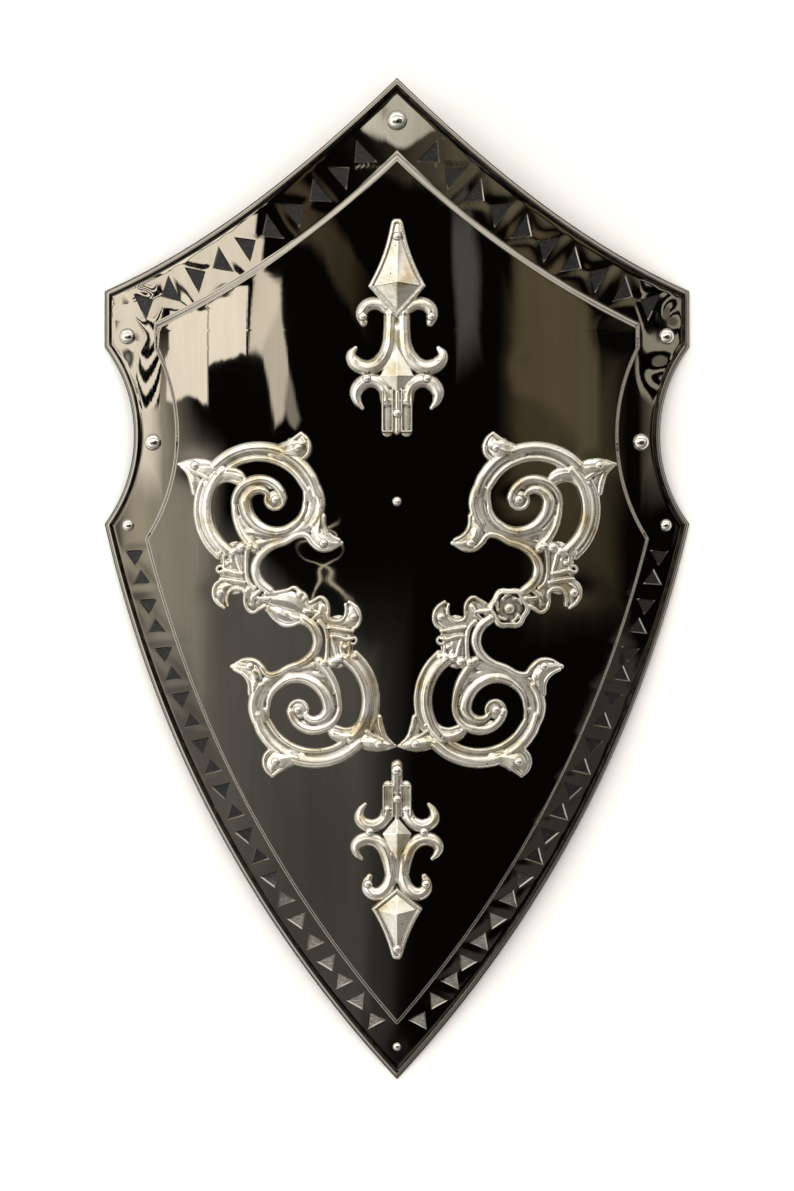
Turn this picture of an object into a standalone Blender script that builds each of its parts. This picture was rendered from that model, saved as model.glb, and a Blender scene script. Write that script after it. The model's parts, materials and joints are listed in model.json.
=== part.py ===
"""A knight's eared shield lying on its back: one pressed steel sheet, four castings, rivets and pins."""
import math

import bmesh
import bpy
from mathutils import Matrix, Vector
from mathutils.bvhtree import BVHTree

MM = 0.001

# Outline in millimetres. X runs across the shield, +Y towards its peak and +Z out of its face.
HEIGHT = 712.0
PEAK_Y = HEIGHT / 2
TIP_Y = -HEIGHT / 2
EAR_X = 208.5                       # half of the width over the ears
EAR_Y = 206.0                       # upper corner of the ear
TOP_ARC = 573.0                     # radius of the hollow top edges
TOP_SWELL = 3.0                     # how far the edge swells out from that arc, a third of the way down
SWELL_PEAK = 4 / 27                 # largest value of t * (1 - t) ** 2, which the swelling follows
WAIST_ARC = 104.2                   # radius of the hollow in each side
WAIST_X = 187.3                     # half width at the hollow's deepest place
WAIST_Y = 103.1
FLANK_ANGLES = (13.0, 42.5)         # lean of the flank at the ear and at the tip, degrees from Y
FLANK_PULLS = (151.0, 160.0)        # how far the flank runs along each of those leans

# The sheet and what is pressed into it.
SHEET = 1.6
RIM = ((0.0, -1.6), (2.2, 0.6), (5.2, -0.8))   # inset and height of the rolled rim
BAND_RISE = -0.8                    # height of the flat border band
FIELD_RISE = 1.2                    # height of the field inside it
STEP_RUN = 2.6                      # width of the step between them
TOP_BAND = 36.3                     # width of the border along the top
WAIST_BAND = 30.2
FLANK_BAND = 26.2
ROWS = (6, 1, 5, 10)                # divisions along top edge, ear, waist and flank
FIELD_COLUMNS = 2

# The sheet is bent across and bowed along, so that four ears and the tip reach the ground.
BEND_RADIUS = 490.0
CROWN_Y = 123.0
BOW = 2.1e-4

# Struck triangular windows: how many, their base across the band, their length along it, their lean.
WINDOW_DEPTH = 0.9
TOP_WINDOWS = {"count": 10, "base": 22.5, "length": 12.4, "lean": 0.0}
FLANK_WINDOWS = {"count": 22, "base": 15.2, "length": 11.4, "lean": 12.0}
TOP_WINDOW_ANGLES = (43.15, 24.95)   # first and last, seen from the centre of the top arc
FLANK_WINDOW_YS = (17.5, -313.5)    # first and last
FLANK_STEPS = 300                   # steps in which the flank's length is measured
WINDOW_PRISM = 4.0                  # height of the prisms that cut the windows

# Rivets: position, radius of the head. The pins have one size.
BORDER_RIVETS = {
    "peak": (0.0, 325.6, 7.3),
    "upper_ear": (192.0, 173.5, 5.9),
    "waist": (173.5, 98.0, 6.2),
    "lower_ear": (191.5, 39.0, 4.5),
    "tip": (0.0, -332.5, 3.1),
}
CENTRE_RIVET = (0.0, 55.5, 3.4)
KNOB_RIVET = (0.0, -135.0, 4.3)     # stands on the neck of the lower finial
HEAD_FLATNESS = 0.82                # height of a head over its radius
HEAD_SHOULDER = (0.72, 0.7)         # where a rivet's profile bends: shares of its radius and height
RIVET_SHANK = 2.0
PIN_HEAD = 3.3
PIN_SHANK = 1.25
PIN_BORE = 1.9
RIVET_BORE = 2.5
BORE_SPAN = (-20, 6)                # heights under and over a head's seat that its bore runs between
SEAT_SPOKES = 12                    # directions in which a head's seat is felt for
TAIL = 0.8                          # how far shanks stand out at the back of the sheet
GAP = 0.3                           # clearance between pieces that touch

# Castings. A ridge is a list of (x, y, width); half a scroll is repeated, turned about its middle.
RIDGE_RISE = 0.95                   # height of a ridge's side points over those of a regular hexagon
RIDGE_TILT = math.radians(30)       # turns the hexagon's flat side up
UNDERSIDE = 0.2                     # castings are cut flat this far over the middle of their ridges
BELOW = (400, 400, 100)             # size of the block that cuts them flat
BOSS_TAPER = 0.72                   # radius of a boss's top over that of its middle
COURSE_DENSITY = 12                 # points between two given ones while a curve is measured
SCROLL_X = 77.5
SCROLL_Y = -16.6
SCROLL_TURN = (0.7, -1.05)          # point that the second half is turned about
EYE = (8.7, 73.4, 7.2)              # middle and radius of the curl's round end
RING_CENTRE = (20.6, 67.0)
RING_ARCS = (                       # radius, first and last angle, first and last width
    (40.2, -53, 160, 14.8, 14.8),
    (24.4, 160, 270, 14.8, 9.6),
    (24.4, 270, 360, 9.6, 8.4),
    (11.5, 360, 480, 8.4, 6.0),
)
OUTER_CENTRE = (-7.6, 71.0)
OUTER_ARCS = (
    (44.9, -44.9, 0, 7.5, 6.6),
    (17.6, 0, 165, 6.6, 6.0),
)
RING_STEP = 14.0                    # spacing of the points along a casting's ridges
RIDGE_STEP = 10.0
TIGHT_TURN = 0.45                   # largest step along an arc over its radius
FLAT = math.radians(8)              # faces of a casting that turn less than this become one
EYE_RISE = 4.6
ROSETTE = (2.0, -3.0, 13.5, 5.0)    # middle, radius of the petals, radius of the button
ROSETTE_RISE = 5.0
BUTTON_RISE = 7.0
WAVY_LEAF = (
    ((14, 4, 9.0), (5, 6, 12.0), (-4, 6, 12.0), (-12, 1.5, 8.0)),
    ((12, -2, 9.0), (6, -8, 12.0), (0, -10, 12.0), (-8, -9.5, 8.0)),
)
UPPER_FINIAL_Y = 210.5              # middle of the upper finial's blade
LOWER_FINIAL_Y = -237.5
BLADE_EDGE = 3.0                    # height of a blade's side
LEDGE = 2.6                         # width of the ledge inside the side
LEDGE_RISE = 0.8
BLADE_RISE = 8.0                    # height of the four facets' peak
DIAMOND_EDGE = 4.4
DIAMOND_RISE = 7.0

SCROLL_RIDGES = {
    "stem": ((-37.5, 41.8, 3.5), (-30, 41.2, 11.0), (-22, 44, 12.0), (-14.5, 47, 9.0), (-2, 43.4, 6.5),
             (12, 40.2, 7.0), (20.6, 33, 8.0), (23, 22, 8.5), (17.5, 11.8, 9.0), (0, 0, 14.0)),
    "bud": ((-2.5, 98, 17.0), (-6.6, 109, 15.0), (-9.6, 120, 4.5)),
    "leaf": ((50, 88, 17.0), (60, 95.5, 13.5), (67.5, 98.2, 10.5), (75, 99.6, 3.0)),
    "web": ((55, 85, 14.0), (47, 91, 12.0), (38, 91.5, 9.5), (30, 86, 7.0)),
    "collar": ((44, 40, 18.0), (40, 29, 22.0), (37, 18, 21.0), (35, 12, 15.0)),
    "hook": ((33, 13.5, 9.0), (41, 14.3, 9.5), (47, 11.2, 10.0), (49, 4.5, 9.5), (44.6, -2.5, 3.5)),
    "lobe": ((14, 5, 9.0), (24, 6.5, 11.0), (27.2, 0, 11.0), (25, -6.5, 3.0)),
}
SCROLL_PINS = ((-7.4, 110.2), (66.0, 97.8), (8.7, 73.4), (-25.5, 42.6), (47.8, 7.6))

# Both finials are drawn for the half at -X, from the middle of the blade. A bar or neck runs from
# one y to another at a width; the web behind the diamond has its y, its reach to both sides and a width.
UPPER_FINIAL = {
    "blade": {"tip": 45.0, "tip_half": 3.9, "half": 20.6, "shoulder": -2.8, "foot": -25.6, "hollow": 2.5},
    "diamond": {"top": -53.7, "half": 12.1, "middle": -67.0, "foot": -78.5},
    "ridges": (
        ((-11, -16.6, 9.0), (-17, -15.4, 8.6), (-22.3, -17.4, 8.2), (-24.8, -22.2, 7.6), (-24, -27.6, 6.0)),
        ((-4.6, -22, 10.0), (-4.8, -40, 10.0), (-10.6, -55.6, 9.8), (-17.5, -60.4, 9.6), (-24.6, -60, 9.6),
         (-30.6, -56, 9.0), (-32.4, -51, 7.4), (-28.4, -46.4, 4.0)),
        ((-7.4, -105.4, 8.6), (-7.4, -82, 8.6), (-11.4, -72.6, 8.6), (-17.4, -69.6, 8.6), (-23, -70.4, 8.8),
         (-27.8, -74.2, 8.6), (-29.2, -79.8, 7.6), (-24.6, -88, 3.4)),
    ),
    "bar": (-84, -106, 8.0),
    "web": (-65.4, 19.0, 9.0),
    "neck": (0, 0, 0),
    "pins": ((0, 32.4), (24.2, -24.4), (21.2, -68.2), (0, -92.8)),
}
LOWER_FINIAL = {
    "blade": {"tip": -32.2, "tip_half": 3.3, "half": 18.3, "shoulder": 4.0, "foot": 19.0, "hollow": 1.8},
    "diamond": {"top": 69.5, "half": 11.0, "middle": 57.5, "foot": 40.0},
    "ridges": (
        ((-3.9, 40, 8.8), (-4.1, 24, 9.4), (-10.4, 15.0, 9.8), (-16.6, 14.8, 8.8), (-21.3, 18.8, 8.0),
         (-20.2, 26, 4.6)),
        ((-4.1, 28, 9.0), (-8.0, 45, 9.0), (-13.4, 51, 8.2), (-19.9, 53.8, 8.4), (-26.3, 52.4, 8.6),
         (-29.6, 47.6, 7.6), (-25, 39.8, 3.2)),
        ((-6.8, 91.6, 8.0), (-6.8, 75, 8.2), (-9.4, 66.8, 8.4), (-15, 63.4, 8.4), (-22, 64.2, 8.6),
         (-26.6, 69.4, 8.0), (-22.6, 78, 3.2)),
    ),
    "bar": (68, 92, 7.6),
    "web": (58.6, 18.0, 9.0),
    "neck": (88, 106, 8.8),
    "pins": ((0, -24.8), (20.6, 21.6), (19.2, 58.8), (0, 82.0)),
}


def centre_of_arc(start, end, radius):
    """Centre of the arc that joins two points and curves away from the shield's middle."""
    chord = end - start
    reach = math.sqrt(radius ** 2 - (chord.length / 2) ** 2)
    across = Vector((-chord.y, chord.x)).normalized()
    return (start + end) / 2 + across * reach


TOP_CENTRE = centre_of_arc(Vector((0, PEAK_Y)), Vector((EAR_X, EAR_Y)), TOP_ARC)
WAIST_CENTRE = Vector((WAIST_X + WAIST_ARC, WAIST_Y))


def fall(x, y):
    """How far the bent sheet lies under its crown."""
    across = BEND_RADIUS - math.sqrt(BEND_RADIUS ** 2 - x ** 2)
    return across + BOW * (y - CROWN_Y) ** 2


def seat(x, y, rise, heading=0.0):
    """Matrix of a piece that stands on the sheet: Z along its normal, Y along a heading in degrees."""
    slope_x = -x / math.sqrt(BEND_RADIUS ** 2 - x ** 2)
    slope_y = -2 * BOW * (y - CROWN_Y)
    normal = Vector((-slope_x, -slope_y, 1)).normalized()
    turn = math.radians(heading)
    ahead = Vector((math.cos(turn), math.sin(turn), 0))
    side = ahead.cross(normal).normalized()
    ahead = normal.cross(side)
    place = Matrix((side, ahead, normal)).transposed().to_4x4()
    place.translation = (x, y, rise - fall(x, y))
    return place


def metres(matrix):
    """The same placing in metres."""
    moved = matrix.copy()
    moved.translation = moved.translation * MM
    return moved


def flank(t, inset):
    """Point of the flank's curve at t, moved inwards, with the direction towards the tip."""
    start = Vector((EAR_X, WAIST_Y - math.sqrt(WAIST_ARC ** 2 - (WAIST_CENTRE.x - EAR_X) ** 2)))
    end = Vector((0, TIP_Y))
    leans = [math.radians(angle) for angle in FLANK_ANGLES]
    first = start - Vector((math.sin(leans[0]), math.cos(leans[0]))) * FLANK_PULLS[0]
    second = end + Vector((math.sin(leans[1]), math.cos(leans[1]))) * FLANK_PULLS[1]
    s = 1 - t
    point = start * s ** 3 + first * 3 * s * s * t + second * 3 * s * t * t + end * t ** 3
    ahead = ((first - start) * s * s + (second - first) * 2 * s * t + (end - second) * t * t).normalized()
    inwards = Vector((ahead.y, -ahead.x))
    return point + inwards * inset, ahead


def root(function, low, high):
    """Where a function that starts below zero and ends above it crosses zero."""
    for _ in range(50):
        middle = (low + high) / 2
        if function(middle) < 0:
            low = middle
        else:
            high = middle
    return (low + high) / 2


def arc_points(centre, start, end, count):
    """Points along the shorter arc from start to end, both kept."""
    first = math.atan2(start.y - centre.y, start.x - centre.x)
    last = math.atan2(end.y - centre.y, end.x - centre.x)
    if abs(last - first) > math.pi:
        first += math.copysign(2 * math.pi, last - first)
    radius = (start - centre).length
    points = []
    for i in range(count + 1):
        angle = first + (last - first) * i / count
        points.append(centre + Vector((math.cos(angle), math.sin(angle))) * radius)
    return points


def swollen(points):
    """The points of a top edge, moved out from its arc by TOP_SWELL at most, a third of the way down."""
    moved = []
    for i, point in enumerate(points):
        t = i / (len(points) - 1)
        outwards = (TOP_CENTRE - point).normalized()
        moved.append(point + outwards * TOP_SWELL * t * (1 - t) ** 2 / SWELL_PEAK)
    return moved


def edge_loop(top, side, waist, flank_inset, on_edge):
    """Right half of a line that runs inside the outline at the given insets, from peak to tip."""
    top_radius = TOP_ARC + top
    waist_radius = WAIST_ARC + waist
    peak = Vector((0, TOP_CENTRE.y - math.sqrt(top_radius ** 2 - TOP_CENTRE.x ** 2)))
    ear_x = EAR_X - side
    upper = Vector((ear_x, TOP_CENTRE.y - math.sqrt(top_radius ** 2 - (TOP_CENTRE.x - ear_x) ** 2)))
    lower = Vector((ear_x, WAIST_Y + math.sqrt(waist_radius ** 2 - (WAIST_CENTRE.x - ear_x) ** 2)))
    if lower.y > upper.y:
        between = WAIST_CENTRE - TOP_CENTRE
        along = (top_radius ** 2 - waist_radius ** 2 + between.length_squared) / (2 * between.length)
        across = math.sqrt(top_radius ** 2 - along ** 2)
        ahead = between.normalized()
        upper = TOP_CENTRE + ahead * along + Vector((ahead.y, -ahead.x)) * across
        lower = upper.copy()
    first = root(lambda t: (flank(t, flank_inset)[0] - WAIST_CENTRE).length - waist_radius, 0.0, 0.5)
    last = root(lambda t: -flank(t, flank_inset)[0].x, 0.5, 1.0)
    corner = flank(first, flank_inset)[0]
    points = arc_points(TOP_CENTRE, peak, upper, ROWS[0])
    if on_edge:
        points = swollen(points)
    points.pop()
    points += [upper.lerp(lower, i / ROWS[1]) for i in range(ROWS[1])]
    points += arc_points(WAIST_CENTRE, lower, corner, ROWS[2])[:-1]
    points += [flank(first + (last - first) * i / ROWS[3], flank_inset)[0] for i in range(ROWS[3] + 1)]
    points[0].x = 0
    points[-1].x = 0
    return points


def material(name, color, roughness, metallic):
    """A plain Principled material."""
    made = bpy.data.materials.new(name)
    made.use_nodes = True
    shader = made.node_tree.nodes["Principled BSDF"]
    shader.inputs["Base Color"].default_value = (*color, 1)
    shader.inputs["Roughness"].default_value = roughness
    shader.inputs["Metallic"].default_value = metallic
    made.diffuse_color = (*color, 1)
    return made


def collection(name):
    """A collection of this name, linked to the scene."""
    made = bpy.data.collections.new(name)
    bpy.context.scene.collection.children.link(made)
    return made


def put(name, mesh, group, matrix=None):
    """An object of this mesh in a collection."""
    made = bpy.data.objects.new(name, mesh)
    group.objects.link(made)
    if matrix:
        made.matrix_world = matrix
    return made


def mesh_of(bm, name):
    """A mesh in metres from a bmesh in millimetres."""
    bm.transform(Matrix.Scale(MM, 4))
    mesh = bpy.data.meshes.new(name)
    bm.to_mesh(mesh)
    bm.free()
    return mesh


def evaluated_mesh(made):
    """The object's mesh with its modifiers applied, in its own coordinates."""
    graph = bpy.context.evaluated_depsgraph_get()
    return bpy.data.meshes.new_from_object(made.evaluated_get(graph), depsgraph=graph)


def hide_cutter(made):
    made.hide_render = True
    made.display_type = "WIRE"
    return made


def cut(made, cutter, operation="DIFFERENCE"):
    """A live exact Boolean on an object."""
    boolean = made.modifiers.new("cut", "BOOLEAN")
    boolean.operation = operation
    boolean.solver = "EXACT"
    boolean.object = cutter
    return boolean


def windows():
    """Matrices of the triangular windows of the right half, each with its base and length."""
    found = []
    top_inset = (RIM[-1][0] + TOP_BAND) / 2
    for k in range(TOP_WINDOWS["count"]):
        share = k / (TOP_WINDOWS["count"] - 1)
        angle = math.radians(TOP_WINDOW_ANGLES[0] + (TOP_WINDOW_ANGLES[1] - TOP_WINDOW_ANGLES[0]) * share)
        inwards = Vector((-math.sin(angle), -math.cos(angle)))
        spot = TOP_CENTRE + inwards * (TOP_ARC + top_inset)
        heading = -math.degrees(angle)
        found.append((spot, heading + 180 * (k % 2), TOP_WINDOWS))
    inset = (RIM[-1][0] + FLANK_BAND) / 2
    limits = [root(lambda t: y - flank(t, inset)[0].y, 0.0, 1.0) for y in FLANK_WINDOW_YS]
    steps = FLANK_STEPS
    course = [flank(limits[0] + (limits[1] - limits[0]) * i / steps, inset) for i in range(steps + 1)]
    travelled = [0.0]
    for (a, _), (b, _) in zip(course, course[1:]):
        travelled.append(travelled[-1] + (b - a).length)
    for k in range(FLANK_WINDOWS["count"]):
        aim = travelled[-1] * k / (FLANK_WINDOWS["count"] - 1)
        nearest = min(range(steps + 1), key=lambda i: abs(travelled[i] - aim))
        spot, ahead = course[nearest]
        heading = math.degrees(math.atan2(ahead.y, ahead.x))
        found.append((spot, heading + 180 * (k % 2) + FLANK_WINDOWS["lean"], FLANK_WINDOWS))
    return found


def both_sides(spots):
    """Rivet places on both sides, named by side; those on the middle line stay single."""
    found = {}
    for name, (x, y, radius) in spots.items():
        if x == 0:
            found[name] = (x, y, radius)
        else:
            found["left_" + name] = (-x, y, radius)
            found["right_" + name] = (x, y, radius)
    return found


def add_cylinder(bm, radius, bottom, top, matrix, segments):
    """A closed cylinder between two heights of a placing."""
    middle = matrix @ Matrix.Translation((0, 0, (bottom + top) / 2))
    bmesh.ops.create_cone(bm, cap_ends=True, segments=segments, radius1=radius, radius2=radius,
                          depth=top - bottom, matrix=middle)


def plate_cutter(holes):
    """One mesh of all the windows and shank holes."""
    bm = bmesh.new()
    for spot, heading, form in windows():
        for side in (1, -1):
            turned = heading if side > 0 else 180 - heading
            place = seat(side * spot.x, spot.y, BAND_RISE, turned)
            size = Matrix.Diagonal((form["base"] / math.sqrt(3), form["length"] / 1.5, 1, 1))
            depth = Matrix.Translation((0, 0, WINDOW_PRISM / 2 - WINDOW_DEPTH))
            bmesh.ops.create_cone(bm, cap_ends=True, segments=3, radius1=1, radius2=1, depth=WINDOW_PRISM,
                                  matrix=place @ size @ depth)
    for x, y, top, radius, sides in holes:
        add_cylinder(bm, radius, *BORE_SPAN, seat(x, y, top), sides)
    return mesh_of(bm, "plate_cutter")


def plate(group, cutters, holes, finish):
    """The pressed sheet: rim, band, step and field on the right half, mirrored, thickened and cut."""
    bands = (TOP_BAND, TOP_BAND, WAIST_BAND, FLANK_BAND)
    levels = [((inset,) * 4, rise, True) for inset, rise in RIM]
    levels.append((bands, BAND_RISE, False))
    levels.append((tuple(band + STEP_RUN for band in bands), FIELD_RISE, False))
    loops = [edge_loop(*insets, on_edge) for insets, _, on_edge in levels]
    bm = bmesh.new()
    grid = []
    for i in range(sum(ROWS) + 1):
        row = [(loop[i], rise) for loop, (_, rise, _) in zip(loops, levels)]
        inner = loops[-1][i]
        for k in range(1, FIELD_COLUMNS + 1):
            row.append((Vector((inner.x * (1 - k / FIELD_COLUMNS), inner.y)), FIELD_RISE))
        grid.append([bm.verts.new((p.x, p.y, rise - fall(p.x, p.y))) for p, rise in row])
    for upper, lower in zip(grid, grid[1:]):
        for k in range(len(upper) - 1):
            bm.faces.new((upper[k], upper[k + 1], lower[k + 1], lower[k]))
    bmesh.ops.remove_doubles(bm, verts=bm.verts, dist=0.01)
    made = put("shield_plate", mesh_of(bm, "shield_plate"), group)
    made.data.materials.append(finish)
    mirror = made.modifiers.new("other half", "MIRROR")
    mirror.merge_threshold = 0.00001
    solid = made.modifiers.new("sheet", "SOLIDIFY")
    solid.thickness = SHEET * MM
    solid.offset = -1
    cutter = hide_cutter(put("plate_cutter", plate_cutter(holes), cutters))
    cut(made, cutter)
    return made


def smooth_course(points, step):
    """Evenly spaced points of a smooth curve through (x, y, width) points."""
    ends = [points[0]] + list(points) + [points[-1]]
    dense = []
    for a, b, c, d in zip(ends, ends[1:], ends[2:], ends[3:]):
        for i in range(COURSE_DENSITY):
            t = i / COURSE_DENSITY
            dense.append([
                0.5 * (2 * q + (r - p) * t + (2 * p - 5 * q + 4 * r - s) * t * t
                       + (3 * q - p - 3 * r + s) * t ** 3)
                for p, q, r, s in zip(a, b, c, d)
            ])
    dense.append(list(points[-1]))
    travelled = [0.0]
    for a, b in zip(dense, dense[1:]):
        travelled.append(travelled[-1] + math.dist(a[:2], b[:2]))
    count = max(2, round(travelled[-1] / step))
    course = []
    for k in range(count + 1):
        aim = travelled[-1] * k / count
        i = max(j for j in range(len(dense)) if travelled[j] <= aim + 1e-9)
        i = min(i, len(dense) - 2)
        part = (aim - travelled[i]) / max(travelled[i + 1] - travelled[i], 1e-9)
        course.append([p + (q - p) * part for p, q in zip(dense[i], dense[i + 1])])
    return course


def arc_course(centre, radius, start, end, widths, step):
    """Points of an arc between two angles in degrees, with a width that runs from one value to another."""
    count = max(2, round(abs(math.radians(end - start)) * radius / min(step, radius * TIGHT_TURN)))
    course = []
    for i in range(count + 1):
        angle = math.radians(start + (end - start) * i / count)
        width = widths[0] + (widths[1] - widths[0]) * i / count
        course.append([centre[0] + radius * math.cos(angle), centre[1] + radius * math.sin(angle), width])
    return course


def chain(centre, arcs, step):
    """Points of arcs that run on into each other, each starting where the last one ended."""
    course = []
    centre = Vector(centre)
    for i, (radius, start, end, first_width, last_width) in enumerate(arcs):
        piece = arc_course(centre, radius, start, end, (first_width, last_width), step)
        course += piece if i == 0 else piece[1:]
        if i + 1 < len(arcs):
            angle = math.radians(end)
            centre = centre + Vector((math.cos(angle), math.sin(angle))) * (radius - arcs[i + 1][0])
    return course


def ridge(course, turned=None):
    """A rounded ridge along a course: a tube flattened to the castings' height, as a mesh object."""
    curve = bpy.data.curves.new("ridge", "CURVE")
    curve.dimensions = "3D"
    curve.twist_mode = "Z_UP"
    curve.bevel_depth = MM
    curve.bevel_resolution = 1
    curve.use_fill_caps = True
    spline = curve.splines.new("POLY")
    spline.points.add(len(course) - 1)
    for point, (x, y, width) in zip(spline.points, course):
        point.co = (x * MM, y * MM, 0, 1)
        point.radius = width / 2
        point.tilt = RIDGE_TILT
    made = bpy.data.objects.new("ridge", curve)
    bpy.context.scene.collection.objects.link(made)
    mesh = evaluated_mesh(made)
    bpy.data.objects.remove(made)
    bpy.data.curves.remove(curve)
    bm = bmesh.new()
    bm.from_mesh(mesh)
    bmesh.ops.remove_doubles(bm, verts=bm.verts, dist=0.00001)
    bmesh.ops.scale(bm, vec=(1, 1, RIDGE_RISE), verts=bm.verts)
    if turned:
        bm.transform(turned)
    bmesh.ops.recalc_face_normals(bm, faces=bm.faces)
    bm.to_mesh(mesh)
    bm.free()
    return put("ridge", mesh, bpy.context.scene.collection)


def disc(x, y, radius, rise, segments=10):
    """A low round boss."""
    bm = bmesh.new()
    bmesh.ops.create_cone(bm, cap_ends=True, segments=segments, radius1=radius, radius2=radius * BOSS_TAPER,
                          depth=rise * 2, matrix=Matrix.Translation((x, y, 0)))
    return put("disc", mesh_of(bm, "disc"), bpy.context.scene.collection)


def top_of(bm, x, y, radius):
    """Height over the bent sheet's face of the highest place of a casting under a head."""
    tree = BVHTree.FromBMesh(bm)
    place = seat(x, y, 0)
    normal = place.col[2].xyz
    highest = 0
    for reach in (0, radius / 2, radius):
        for k in range(SEAT_SPOKES):
            turn = 2 * math.pi * k / SEAT_SPOKES
            px = x + reach * math.cos(turn)
            py = y + reach * math.sin(turn)
            hit = tree.ray_cast(Vector((px, py, 50)) * MM, Vector((0, 0, -1)))[0]
            if hit:
                highest = max(highest, (hit / MM - place.translation).dot(normal) / normal.z)
    return highest


def bore_of(head):
    """Radius and sides of the hole for a shank, for a rivet or for a smaller pin."""
    return (RIVET_BORE, 6) if head > PIN_HEAD else (PIN_BORE, 5)


def fuse(name, shapes, spot, group, cutters, finish, pins, mirrored=False):
    """One casting: its shapes united, cut flat below, laid on the bent field and bored for its pins."""
    base = shapes[0]
    joined = bpy.data.collections.new("joined")
    for shape in shapes[1:]:
        bpy.context.scene.collection.objects.unlink(shape)
        joined.objects.link(shape)
    bpy.context.scene.collection.children.link(joined)
    union = base.modifiers.new("union", "BOOLEAN")
    union.operation = "UNION"
    union.solver = "EXACT"
    union.operand_type = "COLLECTION"
    union.collection = joined
    bm = bmesh.new()
    size = Matrix.Diagonal((*BELOW, 1))
    bmesh.ops.create_cube(bm, size=1, matrix=Matrix.Translation((0, 0, UNDERSIDE - BELOW[2] / 2)) @ size)
    below = put("below", mesh_of(bm, "below"), bpy.context.scene.collection)
    cut(base, below)
    mesh = evaluated_mesh(base)
    for shape in list(joined.objects) + [base, below]:
        bpy.data.objects.remove(shape)
    bpy.data.collections.remove(joined)
    bm = bmesh.new()
    bm.from_mesh(mesh)
    bmesh.ops.dissolve_limit(bm, angle_limit=FLAT, verts=bm.verts, edges=bm.edges)
    bmesh.ops.triangulate(bm, faces=bm.faces)
    if mirrored:
        bmesh.ops.scale(bm, vec=(-1, 1, 1), verts=bm.verts)
        bmesh.ops.reverse_faces(bm, faces=bm.faces)
    for vert in bm.verts:
        x = vert.co.x / MM + spot[0]
        y = vert.co.y / MM + spot[1]
        z = vert.co.z / MM - UNDERSIDE + FIELD_RISE + GAP - fall(x, y)
        vert.co = Vector((x, y, z)) * MM
    seats = [(x, y, top_of(bm, x, y, head), head) for x, y, head in pins]
    bm.to_mesh(mesh)
    bm.free()
    made = put(name, mesh, group)
    mesh.materials.clear()
    mesh.materials.append(finish)
    bm = bmesh.new()
    for x, y, top, head in seats:
        bore, sides = bore_of(head)
        add_cylinder(bm, bore, *BORE_SPAN, seat(x, y, top), sides)
    cut(made, hide_cutter(put(name + "_bores", mesh_of(bm, "bores"), cutters)))
    return made, seats


def half_scroll(turned):
    """The shapes of one half of a scroll, turned about the scroll's middle for the other half."""
    shapes = [
        ridge(chain(RING_CENTRE, RING_ARCS, RING_STEP), turned),
        ridge(chain(OUTER_CENTRE, OUTER_ARCS, RIDGE_STEP), turned),
    ]
    for points in SCROLL_RIDGES.values():
        shapes.append(ridge(smooth_course(points, RIDGE_STEP), turned))
    x, y, radius = EYE
    eye = disc(x, y, radius, EYE_RISE)
    eye.data.transform(turned)
    shapes.append(eye)
    return shapes


def scroll(side, middle, group, cutters, finish):
    """A scroll: a half and the same half turned by 180 degrees, with its own middle piece."""
    turn = Matrix.Rotation(math.pi, 4, "Z")
    turn.translation = Vector((*SCROLL_TURN, 0)) * 2 * MM
    shapes = half_scroll(Matrix.Identity(4)) + half_scroll(turn)
    if middle == "rosette":
        x, y, petals, button = ROSETTE
        shapes.append(disc(x, y, petals, ROSETTE_RISE, 12))
        shapes.append(disc(x, y, button, BUTTON_RISE, 8))
    else:
        for points in WAVY_LEAF:
            shapes.append(ridge(smooth_course(points, RIDGE_STEP)))
    sign = 1 if side == "right" else -1
    pins = []
    for x, y in SCROLL_PINS:
        pins.append((sign * (SCROLL_X + x), SCROLL_Y + y, PIN_HEAD))
        x = 2 * SCROLL_TURN[0] - x
        y = 2 * SCROLL_TURN[1] - y
        pins.append((sign * (SCROLL_X + x), SCROLL_Y + y, PIN_HEAD))
    spot = (sign * SCROLL_X, SCROLL_Y)
    return fuse("scroll_" + side, shapes, spot, group, cutters, finish, pins, mirrored=sign < 0)


def bowed(start, end, sag, count):
    """Points from start to end along a shallow arc that sags to the right of its course."""
    chord = Vector(end) - Vector(start)
    across = Vector((chord.y, -chord.x)).normalized()
    points = []
    for i in range(count):
        t = i / count
        points.append(Vector(start) + chord * t + across * sag * 4 * t * (1 - t))
    return points


def facets(outline, edge, ledge, peak):
    """A prism on an outline, with a narrow ledge around facets that rise to one peak."""
    bm = bmesh.new()
    roof = bm.faces.new([bm.verts.new((x, y, -edge)) for x, y in outline])
    raised = bmesh.ops.extrude_face_region(bm, geom=[roof])["geom"]
    roof = [item for item in raised if isinstance(item, bmesh.types.BMFace)][0]
    bmesh.ops.translate(bm, vec=(0, 0, edge * 2), verts=list(roof.verts))
    if ledge:
        bmesh.ops.inset_region(bm, faces=[roof], thickness=ledge, depth=LEDGE_RISE)
    crown = bmesh.ops.poke(bm, faces=[roof])["verts"][0]
    crown.co = peak
    bmesh.ops.recalc_face_normals(bm, faces=bm.faces)
    return put("facets", mesh_of(bm, "facets"), bpy.context.scene.collection)


def blade(form):
    """A finial's kite: hollow sides out to the tip and straight ones back to its foot."""
    way = math.copysign(1, form["tip"])
    half = bowed((form["tip_half"], form["tip"]), (form["half"], form["shoulder"]), way * form["hollow"], 5)
    half += [Vector((form["half"], form["shoulder"])), Vector((0, form["foot"]))]
    outline = half + [Vector((-p.x, p.y)) for p in reversed(half[:-1])]
    return facets(outline, BLADE_EDGE, LEDGE, (0, 0, BLADE_RISE))


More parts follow.
